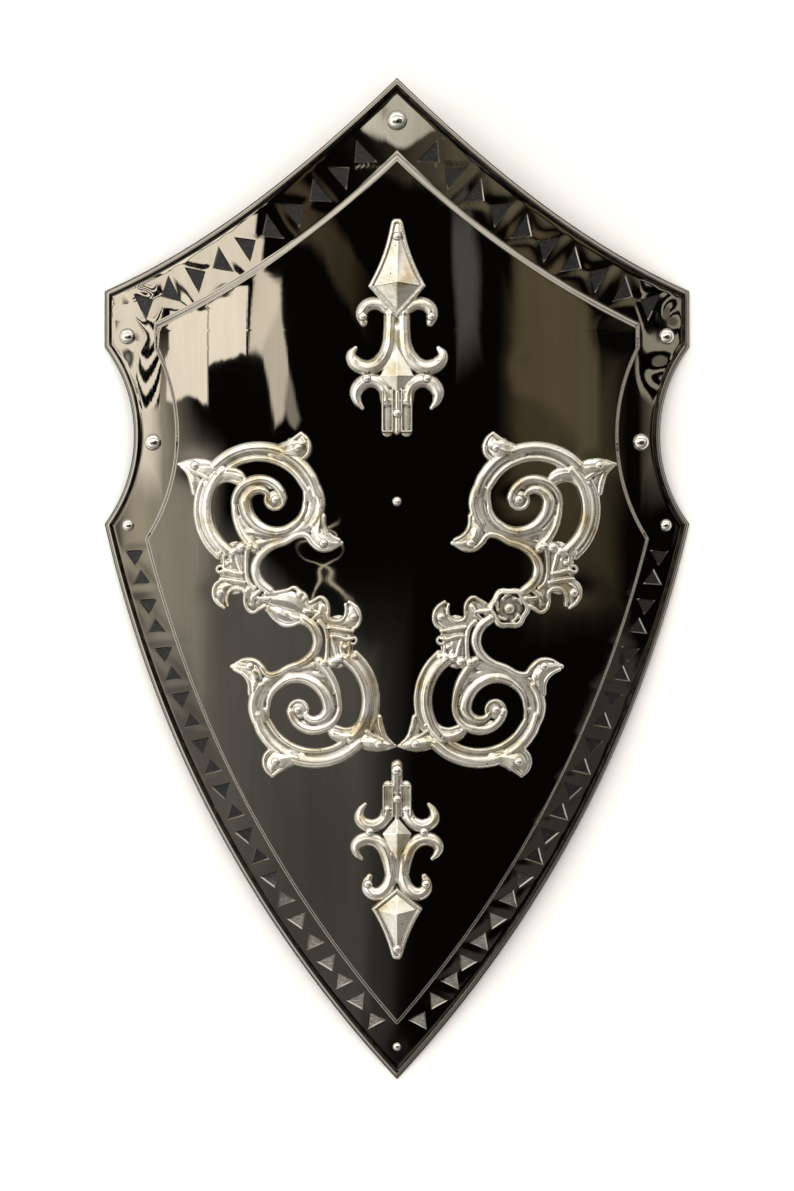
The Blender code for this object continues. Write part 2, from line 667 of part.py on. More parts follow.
def diamond(form):
    """The small four-sided pyramid between a finial's hooks."""
    outline = ((0, form["top"]), (form["half"], form["middle"]), (0, form["foot"]),
               (-form["half"], form["middle"]))
    return facets(outline, DIAMOND_EDGE, 0, (0, form["middle"], DIAMOND_RISE))


def finial(name, form, middle_y, group, cutters, finish):
    """A finial: blade, diamond and bars on the middle line, and hooks on both sides."""
    shapes = [blade(form["blade"]), diamond(form["diamond"])]
    for start, end, width in (form["bar"], form["neck"]):
        if width:
            shapes.append(ridge([(0, start, width), (0, end, width)]))
    y, reach, width = form["web"]
    shapes.append(ridge([(-reach, y, width), (reach, y, width)]))
    other_side = Matrix.Scale(-1, 4, (1, 0, 0))
    for points in form["ridges"]:
        course = smooth_course(points, RIDGE_STEP)
        shapes.append(ridge(course))
        shapes.append(ridge(course, other_side))
    pins = []
    for x, y in form["pins"]:
        for sign in (1, -1) if x else (1,):
            pins.append((sign * x, middle_y + y, PIN_HEAD))
    if form["neck"][2]:
        pins.append(KNOB_RIVET)
    return fuse(name, shapes, (0, middle_y), group, cutters, finish, pins)


def stud(name, x, y, head, height, lift, group, frame, finish):
    """A domed rivet or pin: a turned profile whose head's underside is at a height over the bent face."""
    rise = head * HEAD_FLATNESS
    shank = RIVET_SHANK if head > PIN_HEAD else PIN_SHANK
    end = -(height - lift + SHEET + TAIL)
    shoulder = (head * HEAD_SHOULDER[0], rise * HEAD_SHOULDER[1])
    profile = [(0, rise), shoulder, (head, 0), (shank, 0), (shank, end), (0, end)]
    if head == PIN_HEAD:
        profile.pop(1)
    bm = bmesh.new()
    verts = [bm.verts.new((x, 0, z)) for x, z in profile]
    for a, b in zip(verts, verts[1:]):
        bm.edges.new((a, b))
    made = put(name, mesh_of(bm, name), group)
    made.data.materials.append(finish)
    turned = made.modifiers.new("turned", "SCREW")
    turned.steps = bore_of(head)[1]
    turned.render_steps = turned.steps
    turned.use_merge_vertices = True
    turned.merge_threshold = 0.00001
    made.parent = frame
    made.matrix_world = metres(seat(x, y, height))
    return made


def main():
    for old in list(bpy.data.objects):
        bpy.data.objects.remove(old)
    group = collection("shield")
    cutters = collection("cutters")
    black = material("black_nickel", (0.05, 0.048, 0.045), 0.08, 1.0)
    silver = material("polished_nickel", (0.72, 0.70, 0.64), 0.2, 1.0)
    frame = bpy.data.objects.new("shield_frame", None)
    group.objects.link(frame)

    castings = (
        scroll("left", "leaf", group, cutters, silver),
        scroll("right", "rosette", group, cutters, silver),
        finial("finial_upper", UPPER_FINIAL, UPPER_FINIAL_Y, group, cutters, silver),
        finial("finial_lower", LOWER_FINIAL, LOWER_FINIAL_Y, group, cutters, silver),
    )
    holes = []
    for casting, seats in castings:
        casting.parent = frame
        for k, (x, y, top, head) in enumerate(seats):
            name = "rivet_knob" if head > PIN_HEAD else "pin_%s_%d" % (casting.name, k + 1)
            stud(name, x, y, head, top + GAP, FIELD_RISE, group, frame, silver)
            holes.append((x, y, top, *bore_of(head)))
    for name, (x, y, head) in both_sides(BORDER_RIVETS).items():
        stud("rivet_" + name, x, y, head, BAND_RISE + GAP, BAND_RISE, group, frame, silver)
        holes.append((x, y, BAND_RISE, *bore_of(head)))
    x, y, head = CENTRE_RIVET
    stud("rivet_centre", x, y, head, FIELD_RISE + GAP, FIELD_RISE, group, frame, silver)
    holes.append((x, y, FIELD_RISE, *bore_of(head)))

    sheet = plate(group, cutters, holes, black)
    sheet.parent = frame
    lowest = min(vert.co.z for vert in evaluated_mesh(sheet).vertices)
    frame.location.z = -lowest
    for cutter in cutters.objects:
        cutter.parent = frame


main()
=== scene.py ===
import json
from math import atan2, copysign, cos, degrees, exp, hypot, pi, radians, sin, sqrt

import bmesh
import bpy
from mathutils import Matrix, Vector, noise
from mathutils.bvhtree import BVHTree

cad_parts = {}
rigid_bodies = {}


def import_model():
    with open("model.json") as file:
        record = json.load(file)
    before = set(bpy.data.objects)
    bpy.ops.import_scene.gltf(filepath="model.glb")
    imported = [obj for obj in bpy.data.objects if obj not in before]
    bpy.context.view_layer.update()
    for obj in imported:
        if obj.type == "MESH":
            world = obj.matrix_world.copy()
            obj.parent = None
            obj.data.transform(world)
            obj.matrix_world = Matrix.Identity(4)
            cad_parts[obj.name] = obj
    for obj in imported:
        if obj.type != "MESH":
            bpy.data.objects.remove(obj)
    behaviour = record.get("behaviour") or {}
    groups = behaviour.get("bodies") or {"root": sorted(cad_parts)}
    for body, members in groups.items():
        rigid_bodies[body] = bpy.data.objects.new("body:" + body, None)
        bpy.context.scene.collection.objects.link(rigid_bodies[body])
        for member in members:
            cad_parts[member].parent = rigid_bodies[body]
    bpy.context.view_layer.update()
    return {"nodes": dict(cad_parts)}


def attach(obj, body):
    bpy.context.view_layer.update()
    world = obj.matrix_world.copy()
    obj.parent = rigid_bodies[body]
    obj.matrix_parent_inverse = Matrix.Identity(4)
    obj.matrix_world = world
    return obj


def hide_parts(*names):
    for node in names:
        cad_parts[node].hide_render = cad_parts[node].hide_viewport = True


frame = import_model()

mm = 0.001
view = bpy.context.scene.collection
print("frame loaded:", len(frame["nodes"]), "nodes")


def srgb(code):
    # turns an sRGB hex value into the linear colour that the shaders take
    channels = [int(code[i:i + 2], 16) / 255 for i in (1, 3, 5)]
    linear = [c / 12.92 if c <= 0.04045 else ((c + 0.055) / 1.055) ** 2.4 for c in channels]
    return (*linear, 1)


def given(item, **settings):
    for name, value in settings.items():
        setattr(item, name, value)
    return item


def feed(tree, node, sockets):
    # fills sockets, by name or by i and their number, with a value, an output or a node's first output
    for name, value in sockets.items():
        place = int(name[1:]) if name[0] == "i" and name[1:].isdigit() else name.replace("_", " ")
        if isinstance(value, bpy.types.Node):
            value = next(output for output in value.outputs if output.enabled)
        if isinstance(value, bpy.types.NodeSocket):
            tree.links.new(value, node.inputs[place])
        else:
            node.inputs[place].default_value = value


def addNode(tree, kind, settings=None, **sockets):
    # a node with its settings, values and links
    node = given(tree.nodes.new("ShaderNode" + kind), **(settings or {}))
    feed(tree, node, sockets)
    return node


rgba = {"data_type": "RGBA"}  # settings that several nodes share
smooth = {"interpolation_type": "SMOOTHSTEP"}
maximum = {"operation": "MAXIMUM"}
multiply = {"operation": "MULTIPLY"}


def fillRamp(ramp, stops):
    # sets a colour ramp's stops from (position, hex value) pairs
    elements = ramp.color_ramp.elements
    while len(elements) > 1:
        elements.remove(elements[-1])
    for position, code in stops:
        stop = elements[0] if position == stops[0][0] else elements.new(position)
        stop.position = position
        stop.color = srgb(code)
    return ramp


def clouded(name, metallic, stretch, detail, stops, dull, span=(0.3, 0.7)):
    # material whose colour follows one cloudy noise, and its roughness too where dull is a pair of
    # values; stretch is how many blobs there are in a metre along each axis
    made = bpy.data.materials.new(name)
    made.use_nodes = True
    tree = made.node_tree
    shader = tree.nodes["Principled BSDF"]
    where = addNode(tree, "TexCoord").outputs["Object"]
    pulled = addNode(tree, "Mapping", Vector=where, Scale=stretch)
    cloud = addNode(tree, "TexNoise", Vector=pulled, Scale=1, Detail=detail)
    tint = fillRamp(addNode(tree, "ValToRGB", Fac=cloud), stops)
    if isinstance(dull, tuple):
        dull = addNode(tree, "MapRange", Value=cloud, From_Min=span[0], From_Max=span[1], To_Min=dull[0],
                       To_Max=dull[1])
    feed(tree, shader, {"Metallic": metallic, "Base Color": tint, "Roughness": dull})
    return made, tree, shader, where, cloud, tint


def putMesh(name, bm, *materials):
    # a finished mesh object from a bmesh in millimetres
    bm.transform(Matrix.Scale(mm, 4))
    mesh = bpy.data.meshes.new(name)
    bm.to_mesh(mesh)
    bm.free()
    made = bpy.data.objects.new(name, mesh)
    view.objects.link(made)
    for finish in materials:
        mesh.materials.append(finish)
    return made


def finalMesh(made):
    # the object's mesh as its modifiers or its sweep leave it
    graph = bpy.context.evaluated_depsgraph_get()
    return bpy.data.meshes.new_from_object(made.evaluated_get(graph), depsgraph=graph)


def applied(made):
    mesh = finalMesh(made)
    old = made.data
    made.modifiers.clear()
    made.data = mesh
    bpy.data.meshes.remove(old)
    return made


def softened(made, rounds):
    given(made.modifiers.new("soft", "SMOOTH"), factor=0.5, iterations=rounds)


def shadeByAngle(made, angle):
    made.data.shade_smooth()
    made.data.set_sharp_from_angle(angle=radians(angle))


def leg(slant, other):
    # the other short side of a right-angled triangle
    return sqrt(slant ** 2 - other ** 2)


dish = {
    "bendRadius": 490,      # across the shield
    "crownY": 123,          # highest line of the bow along it
    "bow": 2.1e-4,
    "lift": 50.35,          # height of the crown's datum over the floor
    "fieldRise": 1.2,
    "bandRise": -0.8,
    "thickness": 1.6,
}


def fallAt(x, y):
    # how far the bent sheet lies under its crown
    bend = dish["bendRadius"] - leg(dish["bendRadius"], x)
    return bend + dish["bow"] * (y - dish["crownY"]) ** 2


def wayOf(heading):
    return Vector((cos(radians(heading)), sin(radians(heading))))


def seatAt(x, y, rise, heading=0):
    # placing that stands on the sheet, Z along its normal and Y along a heading in degrees
    slopeX = -x / leg(dish["bendRadius"], x)
    slopeY = -2 * dish["bow"] * (y - dish["crownY"])
    up = Vector((-slopeX, -slopeY, 1)).normalized()
    side = wayOf(heading).to_3d().cross(up).normalized()
    ahead = up.cross(side)
    place = Matrix((side, ahead, up)).transposed().to_4x4()
    place.translation = (x, y, dish["lift"] + rise - fallAt(x, y))
    return place


def blackNickel():
    # black nickel electroplate on buffed mild steel: a dark warm mirror with faint wipe marks, 18 mm by
    # 110 mm, and a few hairlines about 1 mm apart that run along the shield
    made, tree, shader, where, _, _ = clouded("blackNickelPlate", 1, (55, 9, 20), 4, (
        (0.3, "#8c8780"), (0.7, "#98938b")), (0.012, 0.032), (0.35, 0.75))
    hair = addNode(tree, "Mapping", Vector=where, Scale=(900, 6, 60))
    lines = addNode(tree, "TexNoise", Vector=hair, Scale=1, Detail=1)
    bump = addNode(tree, "Bump", Height=lines, Strength=0.004, Distance=0.0004)
    feed(tree, shader, {"Normal": bump})
    return made


def grainedFloor():
    # coarse etched steel under the same plating: dull charcoal grey with a sideways grain, 3 mm by
    # 1.1 mm, with a painted pale reflection on the windows near the tip
    made, tree, shader, where, grain, slate = clouded("etchedSteelFloor", 0.25, (320, 900, 500), 3, (
        (0.32, "#121213"), (0.55, "#202123"), (0.72, "#38393b")), 0.5)
    # painted reflection: windows near the tip are made pale grey
    paintedPaleReflection = fillRamp(addNode(tree, "ValToRGB", Fac=grain), (
        (0.32, "#75736f"), (0.55, "#9a9894"), (0.72, "#bdbbb6")))
    along = addNode(tree, "SeparateXYZ", Vector=where)
    tipReflectionShare = addNode(tree, "MapRange", smooth, Value=along.outputs["Y"], From_Min=-0.20, From_Max=-0.25)
    tint = addNode(tree, "Mix", rgba, i0=tipReflectionShare, i6=slate, i7=paintedPaleReflection)
    bump = addNode(tree, "Bump", Height=grain, Strength=0.5, Distance=0.0003)
    feed(tree, shader, {"Base Color": tint, "Normal": bump})
    return made


def satinNickel():
    # nickel plated casting, tumbled and hand buffed: pale metal with a painted highlight on its crests,
    # yellowed in patches of 18 mm, its hollows and the low ground by the plate darkened brown by painted
    # shade together with tarnish, small casting pits about 9 mm apart and buffing waves of 6 mm
    made, tree, shader, where, _, tint = clouded("buffedNickelCasting", 0.95, (55, 55, 55), 4, (
        (0.32, "#b3a68a"), (0.46, "#cfcabe"), (0.66, "#dedcd8")), (0.17, 0.25))
    hollow = addNode(tree, "Attribute", {"attribute_name": "hollow"}).outputs["Fac"]    # in mm
    # painted highlight: crests are tinted near white
    paintedCrestHighlight = addNode(tree, "MapRange", smooth, Value=hollow, From_Min=-0.05, From_Max=-0.3, To_Max=0.8)
    # painted shade together with real tarnish: hollows are tinted dark brown
    grooveShadeAndTarnish = addNode(tree, "MapRange", smooth, Value=hollow, From_Min=0.07, From_Max=0.42)
    pits = addNode(tree, "TexVoronoi", Vector=where, Scale=110)
    pit = addNode(tree, "MapRange", Value=pits, From_Min=0.05, From_Max=0.08, To_Min=1, To_Max=0)
    # painted highlight on crests, painted shade with tarnish in hollows and by the plate, dark casting pits
    for share, code in ((paintedCrestHighlight, "#f1efea"), (grooveShadeAndTarnish, "#2b2117"), (pit, "#2a2119")):
        tint = addNode(tree, "Mix", rgba, i0=share, i6=tint, i7=srgb(code))
    ripple = addNode(tree, "TexNoise", Vector=where, Scale=170, Detail=2)
    bump = addNode(tree, "Bump", Height=ripple, Strength=0.16, Distance=0.001)
    feed(tree, shader, {"Base Color": tint, "Normal": bump})
    return made


plateFinish = blackNickel()
floorFinish = grainedFloor()
# painted shade on the turned-back rim's outer edge and inner slope: near black, with dull scuffs about 6 mm
rimShadeFinish = clouded("brownedSteelEdge", 1, (160, 160, 160), 4, ((0.4, "#1b1a18"), (0.7, "#37342f")),
                     (0.2, 0.38))[0]
castFinish = satinNickel()
# bright nickel on turned rivet heads: a near mirror with light handling marks about 3 mm
rivetFinish = clouded("brightNickelRivet", 1, (350, 350, 350), 3, ((0.3, "#cfccc4"), (0.7, "#e2e0dc")),
                      (0.10, 0.17))[0]
# matt paper sweep: soft white with the faintest mottle, 70 mm
floorPaper = clouded("paperSweep", 0, (14, 14, 14), 3, ((0.3, "#f5f6f8"), (0.7, "#f8f9fb")), 0.6)[0]
print("finishes made")


plate = {
    "height": 712,
    "earX": 208.5,
    "earY": 206,
    "topArc": 573,
    "topSwell": 3,
    "waistArc": 104.2,
    "waistX": 187.3,
    "waistY": 103.1,
    "flankAngles": (13, 42.5),
    "flankPulls": (151, 160),
    "rim": ((0, -1.6), (0.25, -0.75), (0.7, -0.15), (2.3, 0.5), (2.9, 0.62), (3.5, 0.42), (4.1, 0),
            (4.6, -0.45), (5.3, -0.74), (6.2, -0.8)),  # inset and height of the rolled edge
    "step": ((-0.6, -0.8), (0, -0.8), (0.3, -0.68), (0.9, -0.1), (1.5, 0.6), (1.9, 1.05), (2.2, 1.2),
             (2.7, 1.2), (3.7, 1.2)),
    "stepSpread": (1.7, 1, 0.85, 0.8),  # how gentle the step is along each band
    "bands": (36.3, 36.3, 30.2, 26.2),  # band width at top, ear, waist and flank
    "bandColumns": 14,
    "fieldColumns": 16,
    "rows": (120, 10, 70, 190),  # divisions along top edge, ear, waist and flank
    "weld": 0.02,
    "windowsFrom": 5.2,  # the windows lie halfway between this inset and the band's inner edge
    "windowDepth": 0.9,
    "windowWall": 1.1,  # run of a window's wall over its depth
    "headroom": 0.7,  # how far the cutter stands over the band
    "topWindows": {"count": 10, "base": 22.5, "length": 12.4},
    "flankWindows": {"count": 22, "base": 15.2, "length": 11.4, "lean": 12},
    "topWindowAngles": (43.15, 24.95),
    "flankWindowYs": (17.5, -313.5),
    "dintDepth": 0.07,  # how far the metal is drawn down beside a window
    "dintReach": 3.6,
    "nearWindow": 22,  # farther away a window draws nothing down
    "rivetDint": 0.07,
    "rivetReach": 2.1,  # over the head's radius
    "pinDint": (9, 0.35),  # reach and depth
    # unevenness of the buffed field: length across and along, phase, height
    "waves": ((34, 120, 3, 0.10), (15, 70, 9, 0.06)),
    "shadedRimStrips": ((0, 1.6), (5, 8)),  # which of the rim's strips are painted near black as painted shade
    # shallow dents: place, reach and depth
    "dents": ((-53, 4, 8, 0.06), (-190, 172, 8, 0.3), (-197, 158, 8, 0.3),
              (-180, 198, 7, 0.22), (-149, -128, 14, 0.25), (196, 190, 8, 0.3),
              (-196, 196, 7, 0.3), (188, 150, 9, 0.3), (160, 176, 10, 0.25),
              (-70, 262, 12, 0.15), (92, 150, 11, 0.2)),
}
borderRivets = {
    "peak": (0, 325.6, 7.3),
    "upper_ear": (192, 173.5, 5.9),
    "waist": (173.5, 98, 6.2),
    "lower_ear": (191.5, 39, 4.5),
    "tip": (0, -332.5, 3.1),
}


def centreOfArc(start, end, radius):
    chord = end - start
    return (start + end) / 2 + Vector((-chord.y, chord.x)).normalized() * leg(radius, chord.length / 2)


topCentre = centreOfArc(Vector((0, plate["height"] / 2)), Vector((plate["earX"], plate["earY"])),
                        plate["topArc"])
waistCentre = Vector((plate["waistX"] + plate["waistArc"], plate["waistY"]))


def flankPoint(t, inset):
    # point of the flank's curve, moved inwards, and the way towards the tip
    drop = leg(plate["waistArc"], waistCentre.x - plate["earX"])
    start = Vector((plate["earX"], plate["waistY"] - drop))
    end = Vector((0, -plate["height"] / 2))
    first = start - wayOf(90 - plate["flankAngles"][0]) * plate["flankPulls"][0]
    second = end + wayOf(90 - plate["flankAngles"][1]) * plate["flankPulls"][1]
    s = 1 - t
    point = start * s ** 3 + first * 3 * s * s * t + second * 3 * s * t * t + end * t ** 3
    ahead = ((first - start) * s * s + (second - first) * 2 * s * t + (end - second) * t * t).normalized()
    return point + Vector((ahead.y, -ahead.x)) * inset, ahead


def rootOf(function, low, high):
    for _ in range(40):
        middle = (low + high) / 2
        if function(middle) < 0:
            low = middle
        else:
            high = middle
    return (low + high) / 2


def arcPoints(centre, start, end, count):
    first = atan2(start.y - centre.y, start.x - centre.x)
    last = atan2(end.y - centre.y, end.x - centre.x)
    if abs(last - first) > pi:
        first += copysign(2 * pi, last - first)
    radius = (start - centre).length
    angles = [first + (last - first) * i / count for i in range(count + 1)]
    return [centre + Vector((cos(a), sin(a))) * radius for a in angles]


def edgeLoop(top, side, waist, flankInset, swell):
    # right half of a line inside the outline, from peak to tip; swell is the share of the top's swelling
    rows = plate["rows"]
    topRadius = plate["topArc"] + top
    waistRadius = plate["waistArc"] + waist
    peak = Vector((0, topCentre.y - leg(topRadius, topCentre.x)))
    earX = plate["earX"] - side
    upper = Vector((earX, topCentre.y - leg(topRadius, topCentre.x - earX)))
    lower = Vector((earX, plate["waistY"] + leg(waistRadius, waistCentre.x - earX)))
    if lower.y > upper.y:
        between = waistCentre - topCentre
        along = (topRadius ** 2 - waistRadius ** 2 + between.length_squared) / (2 * between.length)
        ahead = between.normalized()
        upper = topCentre + ahead * along + Vector((ahead.y, -ahead.x)) * leg(topRadius, along)
        lower = upper.copy()
    first = rootOf(lambda t: (flankPoint(t, flankInset)[0] - waistCentre).length - waistRadius, 0, 0.5)
    last = rootOf(lambda t: -flankPoint(t, flankInset)[0].x, 0.5, 1)
    corner = flankPoint(first, flankInset)[0]
    points = arcPoints(topCentre, peak, upper, rows[0])
    for i, point in enumerate(points):
        t = i / rows[0]
        share = 6.75 * t * (1 - t) ** 2  # at most 1
        points[i] = point + (topCentre - point).normalized() * plate["topSwell"] * swell * share
    points.pop()
    points += [upper.lerp(lower, i / rows[1]) for i in range(rows[1])]
    points += arcPoints(waistCentre, lower, corner, rows[2])[:-1]
    points += [flankPoint(first + (last - first) * i / rows[3], flankInset)[0] for i in range(rows[3] + 1)]
    points[0].x = 0
    points[-1].x = 0
    return points


def windowSpots():
    # the struck triangular windows of the right half: middle, heading in degrees, form
    found = []
    form = plate["topWindows"]
    middle = (plate["windowsFrom"] + plate["bands"][0]) / 2
    for k in range(form["count"]):
        first, last = plate["topWindowAngles"]
        angle = first + (last - first) * k / (form["count"] - 1)
        spot = topCentre - wayOf(90 - angle) * (plate["topArc"] + middle)
        found.append((spot, 180 * (k % 2) - angle, form))
    form = plate["flankWindows"]
    middle = (plate["windowsFrom"] + plate["bands"][3]) / 2
    ends = [rootOf(lambda t: y - flankPoint(t, middle)[0].y, 0, 1) for y in plate["flankWindowYs"]]
    steps = 300
    course = [flankPoint(ends[0] + (ends[1] - ends[0]) * i / steps, middle) for i in range(steps + 1)]
    travelled = [0.0]
    for (a, _), (b, _) in zip(course, course[1:]):
        travelled.append(travelled[-1] + (b - a).length)
    for k in range(form["count"]):
        aim = travelled[-1] * k / (form["count"] - 1)
        spot, ahead = course[min(range(steps + 1), key=lambda i: abs(travelled[i] - aim))]
        heading = degrees(atan2(ahead.y, ahead.x)) + 180 * (k % 2) + form["lean"]
        found.append((spot, heading, form))
    return found


def outsideTriangle(point, spot, heading, form):
    # distance of a point outside a window's triangle, nought inside it
    ahead = wayOf(heading)
    local = point - spot
    along = local.dot(ahead)
    across = local.x * ahead.y - local.y * ahead.x
    halfBase = form["base"] / 2
    length = form["length"]
    slant = hypot(length, halfBase)
    shared = (along - length * 2 / 3) * halfBase / slant
    sides = (-length / 3 - along, shared + across * length / slant, shared - across * length / slant)
    return sqrt(sum(max(0, side) ** 2 for side in sides))


def pressedRise(point, spots, dints):
    # what striking the windows, setting the rivets and buffing did to the sheet's height
    rise = 0
    right = Vector((abs(point.x), point.y))
    for spot, heading, form in spots:
        if max(abs(right.x - spot.x), abs(right.y - spot.y)) < plate["nearWindow"]:
            away = outsideTriangle(right, spot, heading, form)
            rise -= plate["dintDepth"] * exp(-(away / plate["dintReach"]) ** 2)
    for x, y, reach, depth in dints:
        away = hypot(point.x - x, point.y - y)
        if away < reach * 3:
            rise -= depth * exp(-(away / reach) ** 2)
    for across, along, phase, height in plate["waves"]:
        rise += height * noise.noise(Vector((point.x / across, point.y / along, phase)))
    return rise


def buildPlate():
    bands = plate["bands"]
    levels = [((inset,) * 4, rise, 1) for inset, rise in plate["rim"]]
    rimInset = plate["rim"][-1][0]
    for k in range(1, plate["bandColumns"]):
        share = k / plate["bandColumns"]
        insets = tuple(rimInset + (band - rimInset) * share for band in bands)
        levels.append((insets, dish["bandRise"], 1 - share))
    for run, rise in plate["step"]:
        insets = tuple(band + run * spread for band, spread in zip(bands, plate["stepSpread"]))
        levels.append((insets, rise, 0))
    loops = [edgeLoop(*insets, swell) for insets, _, swell in levels]
    across = len(levels) + plate["fieldColumns"]
    down = sum(plate["rows"]) + 1
    spots = windowSpots()
    dints = list(plate["dents"])
    for side in (1, -1):
        for x, y, head in borderRivets.values():
            dints.append((side * x, y, head * plate["rivetReach"], plate["rivetDint"]))
        for x, y in scroll["pins"]:
            dints.append((side * (scroll["spot"][0] + x), scroll["spot"][1] + y, *plate["pinDint"]))
    bm = bmesh.new()
    loose = bm.verts.layers.float.new("loose")
    grid = bmesh.ops.create_grid(bm, x_segments=across - 1, y_segments=down - 1, size=1)["verts"]
    for row in range(down):
        inner = loops[-1][row]
        for column in range(across):
            if column < len(levels):
                point, rise = loops[column][row], levels[column][1]
            else:
                share = (column - len(levels) + 1) / plate["fieldColumns"]
                point, rise = Vector((inner.x * (1 - share), inner.y)), dish["fieldRise"]
            vert = grid[row * across + column]
            vert.co = (point.x, point.y, dish["lift"] + rise - fallAt(point.x, point.y))
            vert[loose] = min(1, column / len(plate["rim"]))  # the turned edge keeps its line
    for face in bm.faces:
        strip = sum(vert[loose] for vert in face.verts) / 4 * len(plate["rim"])
        # these rim strips get the near-black painted shade
        if any(low < strip < high for low, high in plate["shadedRimStrips"]):
            face.material_index = 2
    bmesh.ops.remove_doubles(bm, verts=bm.verts, dist=plate["weld"])
    bmesh.ops.mirror(bm, geom=bm.verts[:] + bm.edges[:] + bm.faces[:], axis="X", merge_dist=plate["weld"])
    bmesh.ops.remove_doubles(bm, verts=bm.verts, dist=plate["weld"])
    bmesh.ops.recalc_face_normals(bm, faces=bm.faces)
    if sum(face.normal.z for face in bm.faces) < 0:
        bmesh.ops.reverse_faces(bm, faces=bm.faces)
    for vert in bm.verts:
        vert.co.z += pressedRise(vert.co, spots, dints) * vert[loose]
    made = putMesh("plate_pressed", bm, plateFinish, floorFinish, rimShadeFinish)
    given(made.modifiers.new("sheet", "SOLIDIFY"), thickness=dish["thickness"] * mm, offset=-1)
    bm = bmesh.new()
    for spot, heading, form in spots:
        for side in (1, -1):
            place = seatAt(side * spot.x, spot.y, dish["bandRise"], heading if side > 0 else 180 - heading)
            wide = form["base"] / sqrt(3)
            long = form["length"] / 1.5
            depth, headroom = plate["windowDepth"], plate["headroom"]
            slant = plate["windowWall"] / (wide / 2)
            low = Matrix.Translation((0, 0, (headroom - depth) / 2))
            struck = bmesh.ops.create_cone(bm, cap_ends=True, segments=3, radius1=1 - depth * slant,
                                           radius2=1 + headroom * slant, depth=depth + headroom,
                                           matrix=place @ Matrix.Diagonal((wide, long, 1, 1)) @ low)["verts"]
            for face in {face for vert in struck for face in vert.link_faces}:
                if len(face.verts) == 3 and face.normal.dot(place.col[2].xyz) < 0:
                    face.material_index = 1
    cutter = putMesh("windowCutter", bm, plateFinish, floorFinish)
    cut = made.modifiers.new("windows", "BOOLEAN")
    given(cut, object=cutter, solver="EXACT", material_mode="INDEX")
    applied(made)
    bpy.data.objects.remove(cutter)
    shadeByAngle(made, 32)
    return made


sections = {  # half width 1; the keel has a crest line, the bead is round
    "round": [wayOf(30 * k) for k in range(12)],
    "keel": [(1, 0), (0.86, 0.34), (0.5, 0.72), (0, 1.04), (-0.5, 0.72), (-0.86, 0.34), (-1, 0),
             (-0.6, -0.6), (0, -0.9), (0.6, -0.6)],
}


def bar(bm, points, rise=0.9, base=0, section="round", turned=None):
    # a bar with round ends along (x, y, width) points: rise is its height over its half width
    shape = bpy.data.curves.new("section", "CURVE")
    shape.dimensions = "2D"
    profile = shape.splines.new("POLY")
    profile.points.add(len(sections[section]) - 1)
    profile.use_cyclic_u = True
    for point, (x, y) in zip(profile.points, sections[section]):
        point.co = (x, y, 0, 1)
    outline = bpy.data.objects.new("section", shape)
    view.objects.link(outline)
    curve = given(bpy.data.curves.new("bar", "CURVE"), dimensions="3D", twist_mode="Z_UP",
                  bevel_mode="OBJECT", bevel_object=outline, use_fill_caps=True, resolution_u=8)
    spline = curve.splines.new("BEZIER")
    spline.bezier_points.add(len(points) - 1)
    for knot, (x, y, width) in zip(spline.bezier_points, points):
        given(knot, co=(x, y, 0), radius=width / 2, handle_left_type="AUTO", handle_right_type="AUTO")
    made = bpy.data.objects.new("bar", curve)
    view.objects.link(made)
    mesh = finalMesh(made)
    part = bmesh.new()
    part.from_mesh(mesh)
    bmesh.ops.remove_doubles(part, verts=part.verts, dist=0.001)
    for x, y, width in (points[0], points[-1]):
        bmesh.ops.create_uvsphere(part, u_segments=16, v_segments=10, radius=width / 2 * 0.98,
                                  matrix=Matrix.Translation((x, y, 0)))
    addPart(bm, part, rise, base, turned)
    for item in (made, outline):
        bpy.data.objects.remove(item)
    bpy.data.curves.remove(curve)
    bpy.data.curves.remove(shape)
    bpy.data.meshes.remove(mesh)


def addPart(bm, part, rise=1, base=0, turned=None):
    # adds a closed part to a casting, flattened, lifted, and turned or mirrored
    bmesh.ops.scale(part, vec=(1, 1, rise), verts=part.verts)
    bmesh.ops.translate(part, vec=(0, 0, base), verts=part.verts)
    if turned:
        part.transform(turned)
    bmesh.ops.recalc_face_normals(part, faces=part.faces)
    mesh = bpy.data.meshes.new("part")
    part.to_mesh(mesh)
    part.free()
    bm.from_mesh(mesh)
    bpy.data.meshes.remove(mesh)


def ball(bm, x, y, radius, rise=1, base=0, turned=None):
    part = bmesh.new()
    bmesh.ops.create_uvsphere(part, u_segments=20, v_segments=12, radius=radius,
                              matrix=Matrix.Translation((x, y, 0)))
    addPart(bm, part, rise, base, turned)


def arc(centre, radii, angles, widths, spacing=14):
    # (x, y, width) points along an arc, or a spiral where the radius changes
    count = max(3, round(abs(angles[1] - angles[0]) / spacing))
    points = []
    for i in range(count + 1):
        share = i / count
        turn, radius, width = (low + (high - low) * share for low, high in (angles, radii, widths))
        turn = radians(turn)
        points.append((centre[0] + radius * cos(turn), centre[1] + radius * sin(turn), width))
    return points


def markHollows(made):
    # stores at every point how deep it lies in a hollow, in mm, less where it stands on a crest; the
    # low ground beside the plate counts as hollow too, so that painted shade and tarnish reach down to the
    # plate
    softened(made, hollows["spread"])
    eased = finalMesh(made)
    made.modifiers.clear()
    depths = []
    for vert, easy in zip(made.data.vertices, eased.vertices):
        x, y, z = vert.co / mm
        height = z - dish["lift"] - dish["fieldRise"] + fallAt(x, y)
        low = max(0, 1 - height / hollows["lowGround"])
        depths.append((easy.co - vert.co).dot(vert.normal) / mm + low * hollows["lowShare"])
    made.data.attributes.new("hollow", "FLOAT", "POINT").data.foreach_set("value", depths)
    bpy.data.meshes.remove(eased)


